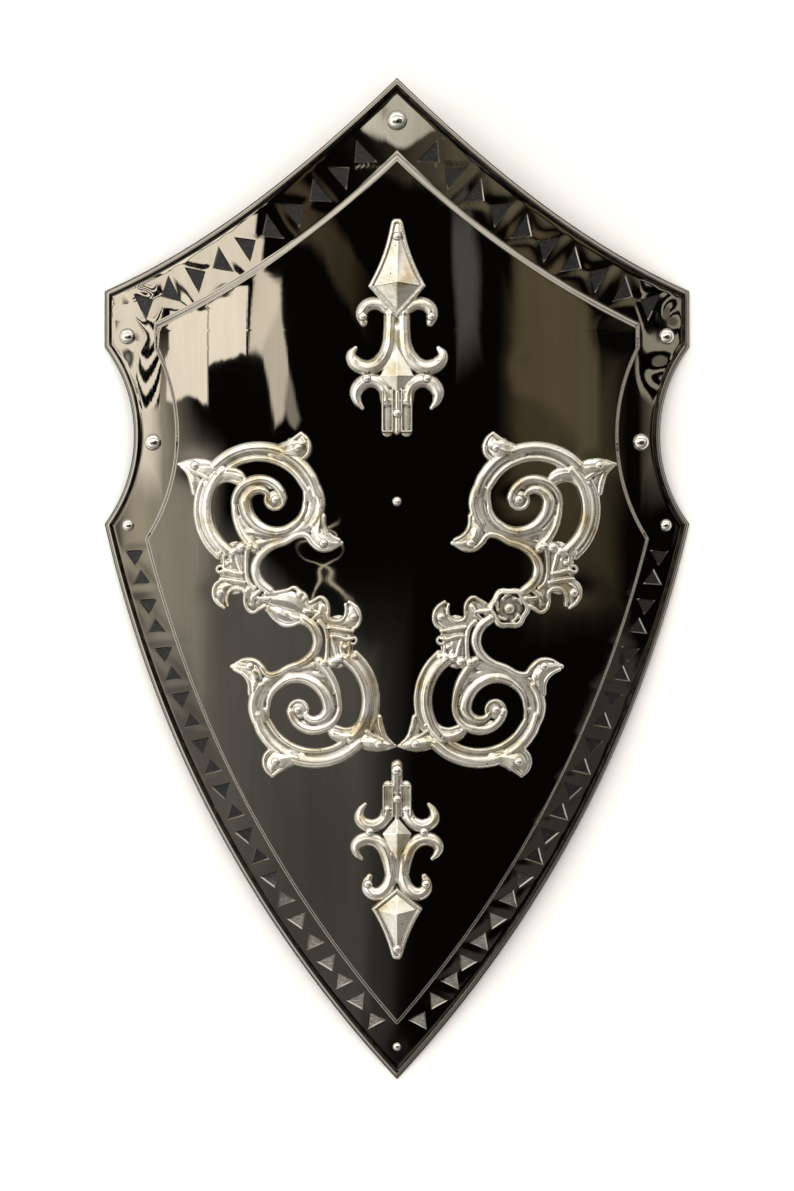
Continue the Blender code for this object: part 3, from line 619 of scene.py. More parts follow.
def finishCasting(name, bm, spot, voxel, softness, mirrored=False):
    # melts the parts into one skin, flattens its underside, softens it and lays it on the sheet
    made = putMesh(name, bm, castFinish)
    melt = made.modifiers.new("melt", "REMESH")
    given(melt, mode="VOXEL", voxel_size=voxel * mm, use_smooth_shade=True)
    softened(made, softness)
    applied(made)
    for vert in made.data.vertices:
        vert.co.z = max(vert.co.z, 0)
    count = sum(len(face.vertices) - 2 for face in made.data.polygons)
    if count > castLimit:
        made.modifiers.new("thin", "DECIMATE").ratio = castLimit / count
        applied(made)
    bm = bmesh.new()
    bm.from_mesh(made.data)
    if mirrored:
        bmesh.ops.scale(bm, vec=(-1, 1, 1), verts=bm.verts)
        bmesh.ops.reverse_faces(bm, faces=bm.faces)
    for vert in bm.verts:
        x = vert.co.x / mm + spot[0]
        y = vert.co.y / mm + spot[1]
        z = vert.co.z / mm + dish["lift"] + dish["fieldRise"] + clearance - fallAt(x, y)
        vert.co = Vector((x, y, z)) * mm
    bm.to_mesh(made.data)
    bm.free()
    made.data.materials.clear()
    made.data.materials.append(castFinish)
    made.data.shade_smooth()
    markHollows(made)
    print("made", name, "with", len(made.data.polygons), "faces")
    return made


castLimit = 150000  # triangles in a casting
clearance = 0.15  # between a casting and the plate
hollows = {
    "spread": 24,  # smoothing rounds that a hollow is measured against
    "lowGround": 2.6,  # height over the plate under which painted shade and tarnish are laid
    "lowShare": 0.28,
}

scroll = {
    "spot": (77.5, -16.6),
    "turn": (0.7, -1.05),  # middle that the second half is turned about
    "voxel": 0.46,
    "softness": 4,
    "pins": ((-7.4, 110.2), (66, 97.8), (8.7, 73.4), (-25.5, 42.6), (47.8, 7.6)),
    # arcs: middle, radii, angles, widths, rise
    "arcs": (
        ((20.6, 67), (37.4, 37.4), (-53, 46), (8.8, 8.8), 0.95),  # ring, right side
        ((20.6, 67), (44.8, 44.4), (-50, 30), (4, 4.2), 1),  # its outer bead
        ((20.6, 67), (44.4, 43.6), (30, 48), (4.2, 7.6), 0.95),
        ((20.6, 67), (41.6, 41.6), (-53, 44), (7, 7), 0.5),  # the hollow between them
        ((20.6, 67), (43.5, 43.5), (44, 150), (8.6, 8.6), 0.95),  # ring, top
        ((20.6, 67), (43.5, 42.6), (150, 166), (8.6, 7.6), 0.95),
        ((20.6, 67), (35.8, 35.8), (50, 152), (4.8, 4.8), 0.95),  # its inner bead
        ((20.6, 67), (35.8, 36.4), (152, 170), (4.8, 4), 0.95),
        ((20.6, 67), (39.4, 39.4), (44, 168), (6, 6), 0.45),
        ((5.75, 72.4), (27.8, 29.4), (160, 184), (7.6, 7.2), 0.95),  # ring, left side
        ((5.75, 72.4), (29.4, 29), (184, 214), (7.2, 7), 0.95),
        ((5.75, 72.4), (24.2, 24.4), (160, 300), (9, 6), 0.5),
        ((5.75, 72.4), (22.4, 21.8), (172, 218), (2.4, 2.4), 1.5),
        ((5.75, 72.4), (19.4, 18.2), (162, 185), (4, 3.8), 1.1),  # inner rail of the bottom
        ((5.75, 72.4), (18.2, 19.6), (185, 240), (3.8, 5.8), 1.05),
        ((5.75, 72.4), (19.6, 21.8), (240, 275), (5.8, 7.4), 1),
        ((5.75, 72.4), (21.8, 24.8), (275, 360), (7.4, 9.4), 0.92),
        ((18.75, 72.4), (11.8, 9.2), (0, 60), (9.4, 7.4), 0.92),  # inner curl
        ((18.75, 72.4), (9.2, 6.4), (60, 140), (7.4, 4.4), 0.95),
        ((-7.6, 71), (44.9, 45.9), (-46, 0), (7.4, 4.4), 1),  # outer curl
        ((19.7, 71), (18.6, 17), (0, 70), (4.4, 7), 1),
        ((19.7, 71), (17, 16.9), (70, 168), (7, 6), 0.95),
        ((18.4, 71.6), (15.8, 13), (-40, 120), (5.4, 4.6), 0.5),  # between the curls
        ((9.2, 73.4), (6.6, 6.2), (150, 400), (3.4, 2.8), 1.3),  # rim of the eye
        ((47.8, 24), (2.6, 2.2), (110, -110), (2.8, 2.4), 1.9),  # curl beside the collar
    ),
    # bars: points, rise, base, section
    "bars": (
        (((-36, 41, 2.4), (-29.5, 38.6, 4.4), (-23, 39, 5.2), (-17.6, 43, 5), (-13, 48.2, 4.8),
          (-7, 48, 4.8), (2, 43.4, 5), (10.2, 40.6, 5.4), (17.3, 36, 6.6), (21.8, 29.7, 7.4),
          (22.8, 22.3, 8), (19.6, 14.6, 7.8), (12.6, 8.6, 7.2)), 0.95),  # stem, from its leaf on
        (((-23, 66, 6.8), (-22.6, 57.5, 9), (-21.6, 51, 11.5), (-24.2, 45.8, 12.5), (-29.6, 43.2, 9.4),
          (-34.6, 42.4, 6.4), (-38, 42.6, 3.6)), 0.75, 0, "keel"),
        (((-25.6, 62, 3.2), (-26.2, 54, 3.4), (-30.2, 48.2, 3.2), (-36.6, 44.8, 2.6)), 1.2, 1),
        (((-18.5, 56, 10), (-6, 50.5, 9), (4, 46.5, 8), (14, 44, 9), (24, 41, 9)), 0.4),
        (((34, 60, 7), (29.6, 53, 8), (26, 46.5, 9), (27, 40, 8)), 0.42),
        (((11, 107, 9), (3, 107.2, 14), (-4.6, 109, 18), (-9.4, 112.8, 13.5), (-10.2, 117.6, 7),
          (-9.6, 120.4, 3)), 0.6, 0, "keel"),  # bud at the upper left
        (((-9.4, 120.4, 2.8), (-13.8, 115.6, 3.6), (-15, 108.6, 4.2), (-11.6, 103.2, 4.6),
          (-5.4, 101.2, 4.6)),
         1.1, 0.6),
        (((-9, 120, 2.6), (-3.6, 115.8, 3.4), (4.6, 110.4, 4), (11.6, 108.8, 4)), 1.1, 0.8),
        (((52, 96, 9), (59, 96.2, 13), (66, 97.2, 12.6), (72, 98.2, 8.4), (77.4, 98.9, 2.8)),
         0.66, 0, "keel"),
        (((75.6, 97.4, 2.8), (70.8, 93.2, 4.4), (68, 86.4, 5), (66.4, 78.4, 4.4)), 1.1),
        (((57.4, 88.6, 3.4), (62.4, 92, 3.4), (68.6, 95, 2.8)), 1.2, 1.4),
        (((57, 85, 8), (50, 90.6, 11), (42, 92.2, 11), (35, 90, 9.6), (31.6, 87.2, 6.6)), 0.7, 0, "keel"),
        (((55.5, 76, 4), (51, 84, 4), (43.6, 87.4, 3.6), (34.6, 85.4, 3.8)), 1.2),
        (((36.4, 35, 19), (38, 26, 21), (37.6, 15.8, 20)), 0.2),  # floor of the collar
        (((28.6, 39.5, 4.6), (29.4, 30, 3.4), (29, 20, 3.2), (27.2, 14.4, 3.4), (23.4, 10.6, 3.4)),
         1.15, 0.9),  # its ribs
        (((36.6, 36, 3.6), (34.8, 28.5, 3), (32.6, 21.6, 2.8)), 1.2, 1.1),
        (((41, 34.6, 3.2), (39.4, 30.4, 2.8), (39.8, 26, 2.6)), 1.2, 1.1),
        (((45.4, 34.6, 3.2), (45, 28, 2.8), (45.4, 21.5, 2.8)), 1.2, 1.1),
        (((32.6, 21, 3), (38, 21.6, 3.4), (43.4, 23.2, 3.4), (47.4, 22.6, 2.8)), 1.2, 1.5),  # bands
        (((30.6, 14.8, 3), (36.5, 15.8, 3.4), (42.5, 16.8, 3.4), (47.6, 17.4, 2.8)), 1.2, 1.5),
        (((30, 12, 8), (38, 12.8, 8.4), (44.4, 11.4, 10), (47.6, 6.4, 10.4), (47.2, 1, 8.4), (45, -1.8, 4)),
         0.46),  # hook, and its two rims
        (((46.8, 16.8, 2.6), (51.4, 13, 3), (52.6, 6, 3), (50, 0.6, 3), (45, -3.2, 2.4)),
         1.2, 0.9),
        (((29.8, 4.8, 2.8), (30.9, 8.5, 3), (36.9, 10.6, 3), (41.6, 7.8, 2.8), (42.9, 2.4, 2.6),
          (42.4, -1.4, 2.4)), 1.2, 0.9),
        (((27, 9, 11), (26, 2, 10), (24.8, -2.4, 7)), 0.4),  # lobe, and its rim
        (((30.4, 5, 2.8), (30.2, 0, 2.8), (27.8, -4.8, 2.8), (24.4, -6.4, 2.8), (20.8, -4.6, 2.8),
          (16.4, -2, 3)), 1.2, 0.8),
        (((20, 8.6, 3.6), (23.8, 5.2, 5), (25.6, 0.4, 3.4)), 0.9, 0.6),
        (((22.7, 4, 2.8), (18.4, 3.5, 3.4), (13.8, 3.4, 4)), 1.1, 0.9),
        (((15, 2.4, 9), (19.6, 0, 9), (23, -2.4, 6)), 0.42),
        (((67.6, 93.6, 10), (65, 86.4, 9), (62.6, 79.6, 7)), 0.42),
        (((31, 50.4, 9), (23, 49.6, 9), (15, 47.6, 9), (7, 46.4, 7)), 0.42),
    ),
    # balls: x, y, radius, rise, base
    "balls": ((9.2, 73.4, 6.6, 0.3), (42.4, 28.6, 2.2, 1.3, 0.9), (27, 40.2, 3.6, 1.1, 0.6),
              (33.4, 39.6, 4.3, 1.05, 0.6), (38.8, 36.6, 3.7, 1.1, 0.6), (44, 35.6, 2.8, 1.1, 0.9),
              (48.2, 35.8, 2.6, 1.1, 0.6)),
}
rosette = {
    "middle": (2, -3.4),
    "sides": 6,
    "radius": 11.6,
    "rimWidth": 2.4,
    "lobe": 0.06,  # how far the rim swings out and in, as a share of its radius
    "discRise": 0.09,
    "rimForm": (1.8, 1.2),  # rise and base
    "skirt": (1.12, 3.4),  # size over the rim's, and width
    "button": (4.3, 1.1, 1.8),  # radius, rise and base
    "petals": ((9.8, 8), (2, 3)),
    "swirls": ((20, 60), (85, 125), (150, 190), (215, 250), (280, 320)),  # cupped petals, degrees
}
wavyLeaf = {
    "bars": (
        (((16, 3.6, 9), (9, 2.6, 14), (1, 1.6, 18), (-6, -0.6, 17), (-13.5, -6, 10)), 0.34),
        (((13, -3, 8), (6, -7, 14), (0, -9.4, 14), (-7, -9.6, 12), (-14, -13, 7)), 0.4),
        (((15.8, 7, 2.8), (8, 7.8, 2.8), (-0.3, 9.6, 2.6), (-4.4, 11.2, 2.8), (-8.1, 8.8, 2.8),
          (-12.8, 5.2, 2.8), (-14.4, -1, 2.8), (-17.4, -4.2, 2.8)), 1.2, 1.2),
        (((14.3, -2.2, 2.4), (12.3, -7.6, 2.6), (7.4, -12.4, 2.8), (3, -15.4, 3), (-2.9, -15.6, 2.8),
          (-9.6, -13.6, 2.8), (-15.9, -17, 2.8)), 1.1, 0.8),
        (((0.8, -6.4, 2), (-2, -9.2, 2.2), (-7.4, -10.8, 2)), 1, 2),
    ),
    "balls": ((-8.4, 6.6, 3, 1, 1.2), (-12, 3.6, 2.4, 1.1, 1.2)),
}


def buildScroll(side):
    # half a scroll, and the same half turned by 180 degrees, with its own middle piece
    bm = bmesh.new()
    turn = Matrix.Rotation(pi, 4, "Z")
    turn.translation = Vector((*scroll["turn"], 0)) * 2
    for placing in (Matrix.Identity(4), turn):
        for centre, radii, angles, widths, rise in scroll["arcs"]:
            bar(bm, arc(centre, radii, angles, widths), rise, turned=placing)
        for points, *form in scroll["bars"]:
            bar(bm, points, *form, turned=placing)
        for form in scroll["balls"]:
            ball(bm, *form, turned=placing)
    if side == "right":
        x, y = rosette["middle"]
        ball(bm, x, y, rosette["radius"], rosette["discRise"])
        rim = []
        grown, skirtWidth = rosette["skirt"]
        for k in range(rosette["sides"] * 5 + 1):
            turn = 2 * pi * k / (rosette["sides"] * 5)
            reach = rosette["radius"] * (1 + rosette["lobe"] * cos(rosette["sides"] * turn))
            rim.append((x + reach * cos(turn), y + reach * sin(turn), rosette["rimWidth"]))
        bar(bm, rim, *rosette["rimForm"])
        bar(bm, [(x + (px - x) * grown, y + (py - y) * grown, skirtWidth) for px, py, _ in rim], 1.2)
        for angles in rosette["swirls"]:
            radii, widths = rosette["petals"]
            bar(bm, arc((x, y), radii, angles, widths), 1.2, 0.6)
        ball(bm, x, y, *rosette["button"])
    else:
        for form in wavyLeaf["bars"]:
            bar(bm, *form)
        for form in wavyLeaf["balls"]:
            ball(bm, *form)
    sign = 1 if side == "right" else -1
    spot = (sign * scroll["spot"][0], scroll["spot"][1])
    return finishCasting("casting_scroll_" + side, bm, spot, scroll["voxel"], scroll["softness"], sign < 0)


upperFinial = {
    "middleY": 210.5,
    "blade": {"tip": 45, "tipHalf": 3.9, "half": 20.6, "shoulder": -2.8, "foot": -25.6, "hollow": 2.5},
    "diamond": {"top": -42, "half": 12.2, "middle": -66.5, "foot": -78.5},
    "hooks": (
        ((-8, -18.6, 7.8), (-13, -15.4, 9), (-18.6, -15.2, 9.6), (-23.4, -18.4, 9.4), (-25, -23.6, 8.3),
         (-23.6, -28.6, 6)),
        ((-4.4, -22, 9.6), (-4.8, -34, 9.6), (-6, -46, 10.5), (-10.6, -55, 11.4), (-17.5, -59.8, 11.2),
         (-24.6, -59.8, 11), (-30.6, -56, 10.1), (-32.2, -51, 7.4), (-29.4, -46.6, 3.4)),
        ((-7.4, -84, 9), (-8.6, -76, 9.6), (-13.4, -70.6, 10.3), (-19.4, -69.4, 10.5), (-25, -71.8, 10.5),
         (-28.8, -77.4, 9.6), (-28.2, -83.6, 6.7), (-24.4, -89, 2.9)),
    ),
    "channel": (-76, -105.4),  # from and to, of the two open channels at the foot
    "channelXs": (3.3, 10.2),
    "floor": 0.3,
    "web": ((0, -34, 12), (0, -46, 13), (0, -58, 16)),
    "footBar": ((0, -78, 4.2), (0, -106, 4.6)),
    "neck": (),
    "pins": ((0, 32.4), (24.2, -24.4), (21.2, -68.2), (0, -92.8)),
}
lowerFinial = {
    "middleY": -237.5,
    "blade": {"tip": -32.2, "tipHalf": 3.3, "half": 18.3, "shoulder": 4, "foot": 19, "hollow": 1.8},
    "diamond": {"top": 69.5, "half": 10.4, "middle": 57.5, "foot": 36.0},
    "hooks": (
        ((-4.2, 42, 7.8), (-4.4, 26, 9.6), (-8.4, 17.4, 10.1), (-14.6, 14.4, 9.9), (-20.2, 17.2, 9),
         (-21.2, 22.6, 6.9), (-19.4, 27, 4.5)),
        ((-4.4, 28, 8.5), (-6.6, 40, 9.6), (-11.4, 49.6, 9.9), (-17.9, 53.4, 9.9), (-25, 52.8, 9.9),
         (-29.4, 48.2, 8.1), (-28.2, 43, 5.4), (-25, 39.8, 2.9)),
        ((-7, 74, 8.5), (-9, 68, 9.2), (-14.4, 63.8, 9.6), (-21, 63.6, 9.9), (-26.2, 68, 8.7),
         (-25.8, 74, 5.6), (-22.6, 78.4, 2.9)),
    ),
    "channel": (70, 91.6),
    "channelXs": (3.1, 9.6),
    "floor": 0.66,
    "web": ((0, 27, 11), (0, 36, 12), (0, 48, 15)),
    "footBar": ((0, 68, 3.8), (0, 92, 4.2)),
    "neck": ((0, 88, 8.6), (0, 106, 8.6)),
    "pins": ((0, -24.8), (20.6, 21.6), (19.2, 58.8), (0, 82)),
}
mould = {
    "voxel": 0.42,
    "softness": 3,
    "sunk": 2,  # how far blade and diamond reach down before they are cut flat
    "edge": 2.6,  # height of a blade's side
    "peak": 9.2,
    "ledges": ((0.7, 1.3), (1.5, 0.35), (0.7, -1.5), (0.5, -0.2)),  # steps inwards and upwards
    "diamondEdge": 2.4,
    "diamondPeak": 7.8,
    "railWidth": 1.9,
    "railRise": 4.2,
    "hookRise": 0.86,
    "rises": {"web": 0.5, "footBar": 1.7, "neck": 0.95},
}
knob = {"y": -135, "radius": 4.3}
centreRivet = {"y": 55.5, "radius": 3.4}


def facetedPart(bm, outline, edge, ledges, peak):
    # a block over an outline, stepped by its ledges and drawn up in facets to a peak
    part = bmesh.new()
    roof = part.faces.new([part.verts.new((x, y, -mould["sunk"])) for x, y in outline])
    raised = bmesh.ops.extrude_face_region(part, geom=[roof])["geom"]
    roof = [item for item in raised if isinstance(item, bmesh.types.BMFace)][0]
    bmesh.ops.translate(part, vec=(0, 0, mould["sunk"] + edge), verts=list(roof.verts))
    if roof.normal.z < 0:
        bmesh.ops.recalc_face_normals(part, faces=part.faces)
    for width, depth in ledges:
        bmesh.ops.inset_region(part, faces=[roof], thickness=width, depth=depth, use_even_offset=True)
    bmesh.ops.poke(part, faces=[roof])["verts"][0].co = peak
    addPart(bm, part)


def bladePart(bm, form):
    # kite with hollow sides: bevelled side, ledge, raised line and four facets up to a peak
    way = copysign(1, form["tip"])
    start = Vector((form["tipHalf"], form["tip"]))
    chord = Vector((form["half"], form["shoulder"])) - start
    hollow = Vector((chord.y, -chord.x)).normalized() * way * form["hollow"]
    side = [start + chord * t + hollow * 4 * t * (1 - t) for t in (i / 10 for i in range(10))]
    side[0].y -= way * form["tipHalf"] * 0.45  # the tip is blunt, with its corners taken off
    side.insert(0, Vector((form["tipHalf"] * 0.55, form["tip"])))
    side += [Vector((form["half"], form["shoulder"])), Vector((0, form["foot"]))]
    outline = side + [Vector((-p.x, p.y)) for p in reversed(side[:-1])]
    facetedPart(bm, outline, mould["edge"], mould["ledges"], (0, 0, mould["peak"]))


def diamondPart(bm, form):
    middle = form["middle"]
    outline = ((0, form["top"]), (form["half"], middle), (0, form["foot"]), (-form["half"], middle))
    facetedPart(bm, outline, mould["diamondEdge"], (), (0, middle, mould["diamondPeak"]))


def buildFinial(name, form):
    bm = bmesh.new()
    bladePart(bm, form["blade"])
    diamondPart(bm, form["diamond"])
    start, end = form["channel"]
    inner, outer = form["channelXs"]
    middle = (inner + outer) / 2
    floorWidth = (outer - inner) * 1.2
    width, rise = mould["railWidth"], mould["railRise"]
    for side in (1, -1):
        placing = Matrix.Scale(side, 4, (1, 0, 0))
        for points in form["hooks"]:
            bar(bm, points, mould["hookRise"], 0, "keel", placing)
        for x in (inner, outer):
            bar(bm, [(x, y, width) for y in (start, (start + end) / 2, end)], rise, turned=placing)
        bar(bm, [(x, end, width) for x in (inner, middle, outer)], rise, turned=placing)
        bar(bm, [(middle, y, floorWidth) for y in (start, end)], form["floor"], turned=placing)
    for key, rise in mould["rises"].items():
        if form[key]:
            bar(bm, form[key], rise)
    return finishCasting("casting_" + name, bm, (0, form["middleY"]), mould["voxel"], mould["softness"])


studs = {
    "flatness": 0.86,  # height of a head over its radius
    "flankPoints": 7,
    "segments": 28,
    "brim": 0.97,  # radius of a head's underside over its own
    "pinHead": 3.3,
    "pinShank": 1.2,
    "rivetShank": 2,
    "tail": 0.8,
    "sink": 0.25,
}


def studMesh(name, x, y, head, height, node):
    # a domed head on its shank, turned about the sheet's normal
    rise = head * studs["flatness"]
    shank = studs["rivetShank"] if head > studs["pinHead"] else studs["pinShank"]
    end = -(height - dish["fieldRise"] + dish["thickness"] + studs["tail"])
    bm = bmesh.new()
    last = bm.verts.new((0, 0, rise))
    angles = [pi / 2 * (k + 1) / studs["flankPoints"] for k in range(studs["flankPoints"])]
    profile = [(head * sin(angle), rise * cos(angle)) for angle in angles]
    profile += [(head * studs["brim"], -studs["sink"]), (shank, -studs["sink"]), (shank, end), (0, end)]
    for px, pz in profile:
        last = bmesh.ops.extrude_vert_indiv(bm, verts=[last])["verts"][0]
        last.co = (px, 0, pz)
    bmesh.ops.spin(bm, geom=bm.verts[:] + bm.edges[:], axis=(0, 0, 1), cent=(0, 0, 0), angle=2 * pi,
                   steps=studs["segments"], use_merge=True)
    bmesh.ops.remove_doubles(bm, verts=bm.verts, dist=0.001)
    bmesh.ops.recalc_face_normals(bm, faces=bm.faces)
    bm.transform(seatAt(x, y, height - studs["sink"]))
    made = putMesh(name, bm, rivetFinish)
    shadeByAngle(made, 40)
    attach(made, "root")
    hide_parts(node)
    return made


def topOf(tree, x, y, radius):
    # highest place of a casting under the middle of a head, over the bent sheet's datum
    top = 0
    for reach in (0, radius * 0.6):
        for k in range(8):
            px = x + reach * cos(pi / 4 * k)
            py = y + reach * sin(pi / 4 * k)
            hit = tree.ray_cast(Vector((px, py, 100)) * mm, Vector((0, 0, -1)))[0]
            if hit:
                top = max(top, hit.z / mm - dish["lift"] + fallAt(px, py))
    return top


def pinCasting(casting, node, places):
    # pins in the order of the frame's nodes, seated on the casting's skin
    bm = bmesh.new()
    bm.from_mesh(casting.data)
    tree = BVHTree.FromBMesh(bm)
    for k, (x, y) in enumerate(places):
        height = topOf(tree, x, y, studs["pinHead"])
        name = "%s_%d" % (node, k + 1)
        studMesh("stud_" + name, x, y, studs["pinHead"], height, "pin_" + name)
    bm.free()
    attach(casting, "root")
    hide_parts(node)
    return tree


pressed = buildPlate()
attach(pressed, "root")
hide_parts("shield_plate")
print("plate pressed:", len(pressed.data.polygons), "faces")

for side in ("left", "right"):
    sign = 1 if side == "right" else -1
    places = []
    for x, y in scroll["pins"]:
        for px, py in ((x, y), (2 * scroll["turn"][0] - x, 2 * scroll["turn"][1] - y)):
            places.append((sign * (scroll["spot"][0] + px), scroll["spot"][1] + py))
    pinCasting(buildScroll(side), "scroll_" + side, places)

for name, form in (("finial_upper", upperFinial), ("finial_lower", lowerFinial)):
    places = []
    for x, y in form["pins"]:
        for sign in ((1, -1) if x else (1,)):
            places.append((sign * x, form["middleY"] + y))
    tree = pinCasting(buildFinial(name, form), name, places)
knobHeight = topOf(tree, 0, knob["y"], knob["radius"])
studMesh("stud_knob", 0, knob["y"], knob["radius"], knobHeight, "rivet_knob")
studMesh("stud_centre", 0, centreRivet["y"], centreRivet["radius"], dish["fieldRise"], "rivet_centre")
for name, (x, y, head) in borderRivets.items():
    if x == 0:
        studMesh("stud_" + name, x, y, head, dish["bandRise"], "rivet_" + name)
        continue
    for side, sign in (("left_", -1), ("right_", 1)):
        studMesh("stud_" + side + name, sign * x, y, head, dish["bandRise"], "rivet_" + side + name)
print("rivets set")


studio = {
    "floorSize": 5,
    "cameraHeight": 6,
    "shownHeight": 0.8495,  # what the frame takes in from top to bottom, in metres
    "aimY": -0.011,
    "lightFrom": (-0.5, 0.7, 0.45),
    "lightSide": ("#fbf8f1", 2.3),
    "shadeSide": ("#efe8dc", 0.4),
    "dusk": 0.12,  # share of the light that is left at the horizon
    "duskHeight": 0.25,
    "lowest": 0.02,                 # a direction lower than this is taken as this low on the ceiling
    "swayScale": (9, 2.5, 1),       # the reflections waver a little
    "sway": (0.06, 0.03, 0),
    "streakScale": (75, 3, 1),
    "streaks": (0.95, 1.03),
    # the dark canopy overhead, and the soft boxes and openings that the plate mirrors in it. Each has its
    # middle and half size on a ceiling at height 1, a turn in degrees, softness, colour and strength
    "canopy": ((0, -0.12), (1.25, 0.5), 0, 0.08, "#fff0e0", 0.006),
    "boxes": (
        ((0, 0.64), (1.7, 0.2), 0, 0.25, "#f8f3e8", 1.9),  # high over the top edge
        ((0, 1.15), (2.4, 0.24), 0, 0.5, "#8d867b", 0.45),  # a dim wall panel far behind it
        ((-0.93, 0.23), (0.49, 0.104), 0, 0.03, "#f1ebde", 2.75),  # over the left ear
        ((-0.66, -0.3), (0.54, 0.235), -10, 0.1, "#c2c0ba", 0.53),  # lower left
        ((-0.97, -0.03), (0.16, 0.09), 0, 0.5, "#cdc6b4", 1.7),
        ((-0.8, -0.1), (0.14, 0.09), -10, 0.6, "#cdc8bc", 1.2),
        ((-1.03, 0.06), (0.12, 0.09), 0, 0.3, "#f1ebde", 2.7),
        ((-0.745, 0.073), (0.083, 0.042), 0, 0.05, "#f1ebde", 3.2),  # windows
        ((-0.57, 0.089), (0.087, 0.025), 0, 0.06, "#f1ebde", 3.2),
        ((-0.418, 0.09), (0.047, 0.03), -8, 0.14, "#ece5d6", 2.5),  # leaning strip
        ((-0.38, 0.05), (0.03, 0.036), 34, 0.16, "#ece5d6", 1.9),
        ((-0.33, 0.02), (0.016, 0.026), 50, 0.4, "#ece5d6", 0.8),
        ((-0.26, -0.4), (0.2, 0.2), 0, 0.6, "#c2c0ba", 0.32),
        ((0, 0.32), (0.15, 0.095), 0, 0.05, "#e9e7da", 2.4),  # over the peak
        ((-0.28, 0.168), (0.13, 0.014), -22, 0.8, "#b3a182", 0.35),
        ((0.62, -0.03), (0.16, 0.09), 0, 0.5, "#b5aa8a", 0.27),
        ((0.55, -0.385), (0.38, 0.11), 22, 0.12, "#a8a69c", 0.27),  # along the lower right band
        ((-0.205, -0.097), (0.058, 0.0017), -17, 0.9, "#e0d8c4", 1.8),  # web of light beside the left scroll
        ((-0.229, -0.099), (0.04, 0.0022), 32, 0.9, "#e0d8c4", 1.8),
        ((0.48, 0.01), (0.12, 0.065), -6, 0.5, "#b5a482", 0.34),  # brown panel
        ((0.52, 0.075), (0.14, 0.055), -8, 0.22, "#b5a482", 0.56),
        ((0.66, 0.03), (0.05, 0.06), 0, 0.5, "#b5aa8a", 0.55),
        ((0.215, 0.115), (0.034, 0.05), 8, 0.5, "#c9c9c6", 0.36),
        ((0.6, 0.185), (0.5, 0.03), -4, 0.5, "#bfb79c", 0.62),  # over the right ear
        ((1.1, 0.08), (0.12, 0.1), 0, 0.5, "#c6c0ac", 0.66),
    ),
    # nested stripes beside each ear: middle, half size, bend, spacing, colours and strengths
    "swirls": (
        ((-0.965, 0.078), (0.085, 0.056), 4.5, 0.024, ("#f1ebde", 3.1), ("#1b1a14", 0.03)),
        ((1.06, 0.1), (0.15, 0.065), 2.2, 0.06, ("#cfcbbd", 1.2), ("#1c1a14", 0.04)),
    ),
    "lampTint": "#fffaf2",
    # soft boxes that light only the castings, the border rivets or the floor: place, size, strength
    "castingLights": (((-0.7, 0.8, 2.4), (1.8, 1.4), 6.4), ((0.25, -0.3, 2.9), (2.2, 2.2), 7.8)),
    "rivetLights": (((-0.5, 0.7, 2.4), (0.8, 0.6), 3.4),),
    "floorLights": (((0, 0, 3), (3.2, 3.2), 56),),
}


def glowing(code, strength):
    return tuple(c * strength for c in srgb(code)[:3]) + (1,)


def lay(tree, under, place, inner, outer, shade):
    # lays a shade over the sky in the square of half size 1 about a place's origin, fading at its edge
    size = addNode(tree, "VectorMath", {"operation": "ABSOLUTE"}, i0=place)
    sides = addNode(tree, "SeparateXYZ", Vector=size)
    edge = addNode(tree, "Math", maximum, i0=sides.outputs["X"], i1=sides.outputs["Y"])
    mask = addNode(tree, "MapRange", smooth, Value=edge, From_Min=inner, From_Max=outer, To_Min=1, To_Max=0)
    return addNode(tree, "Mix", rgba, i0=mask, i6=under, i7=shade)


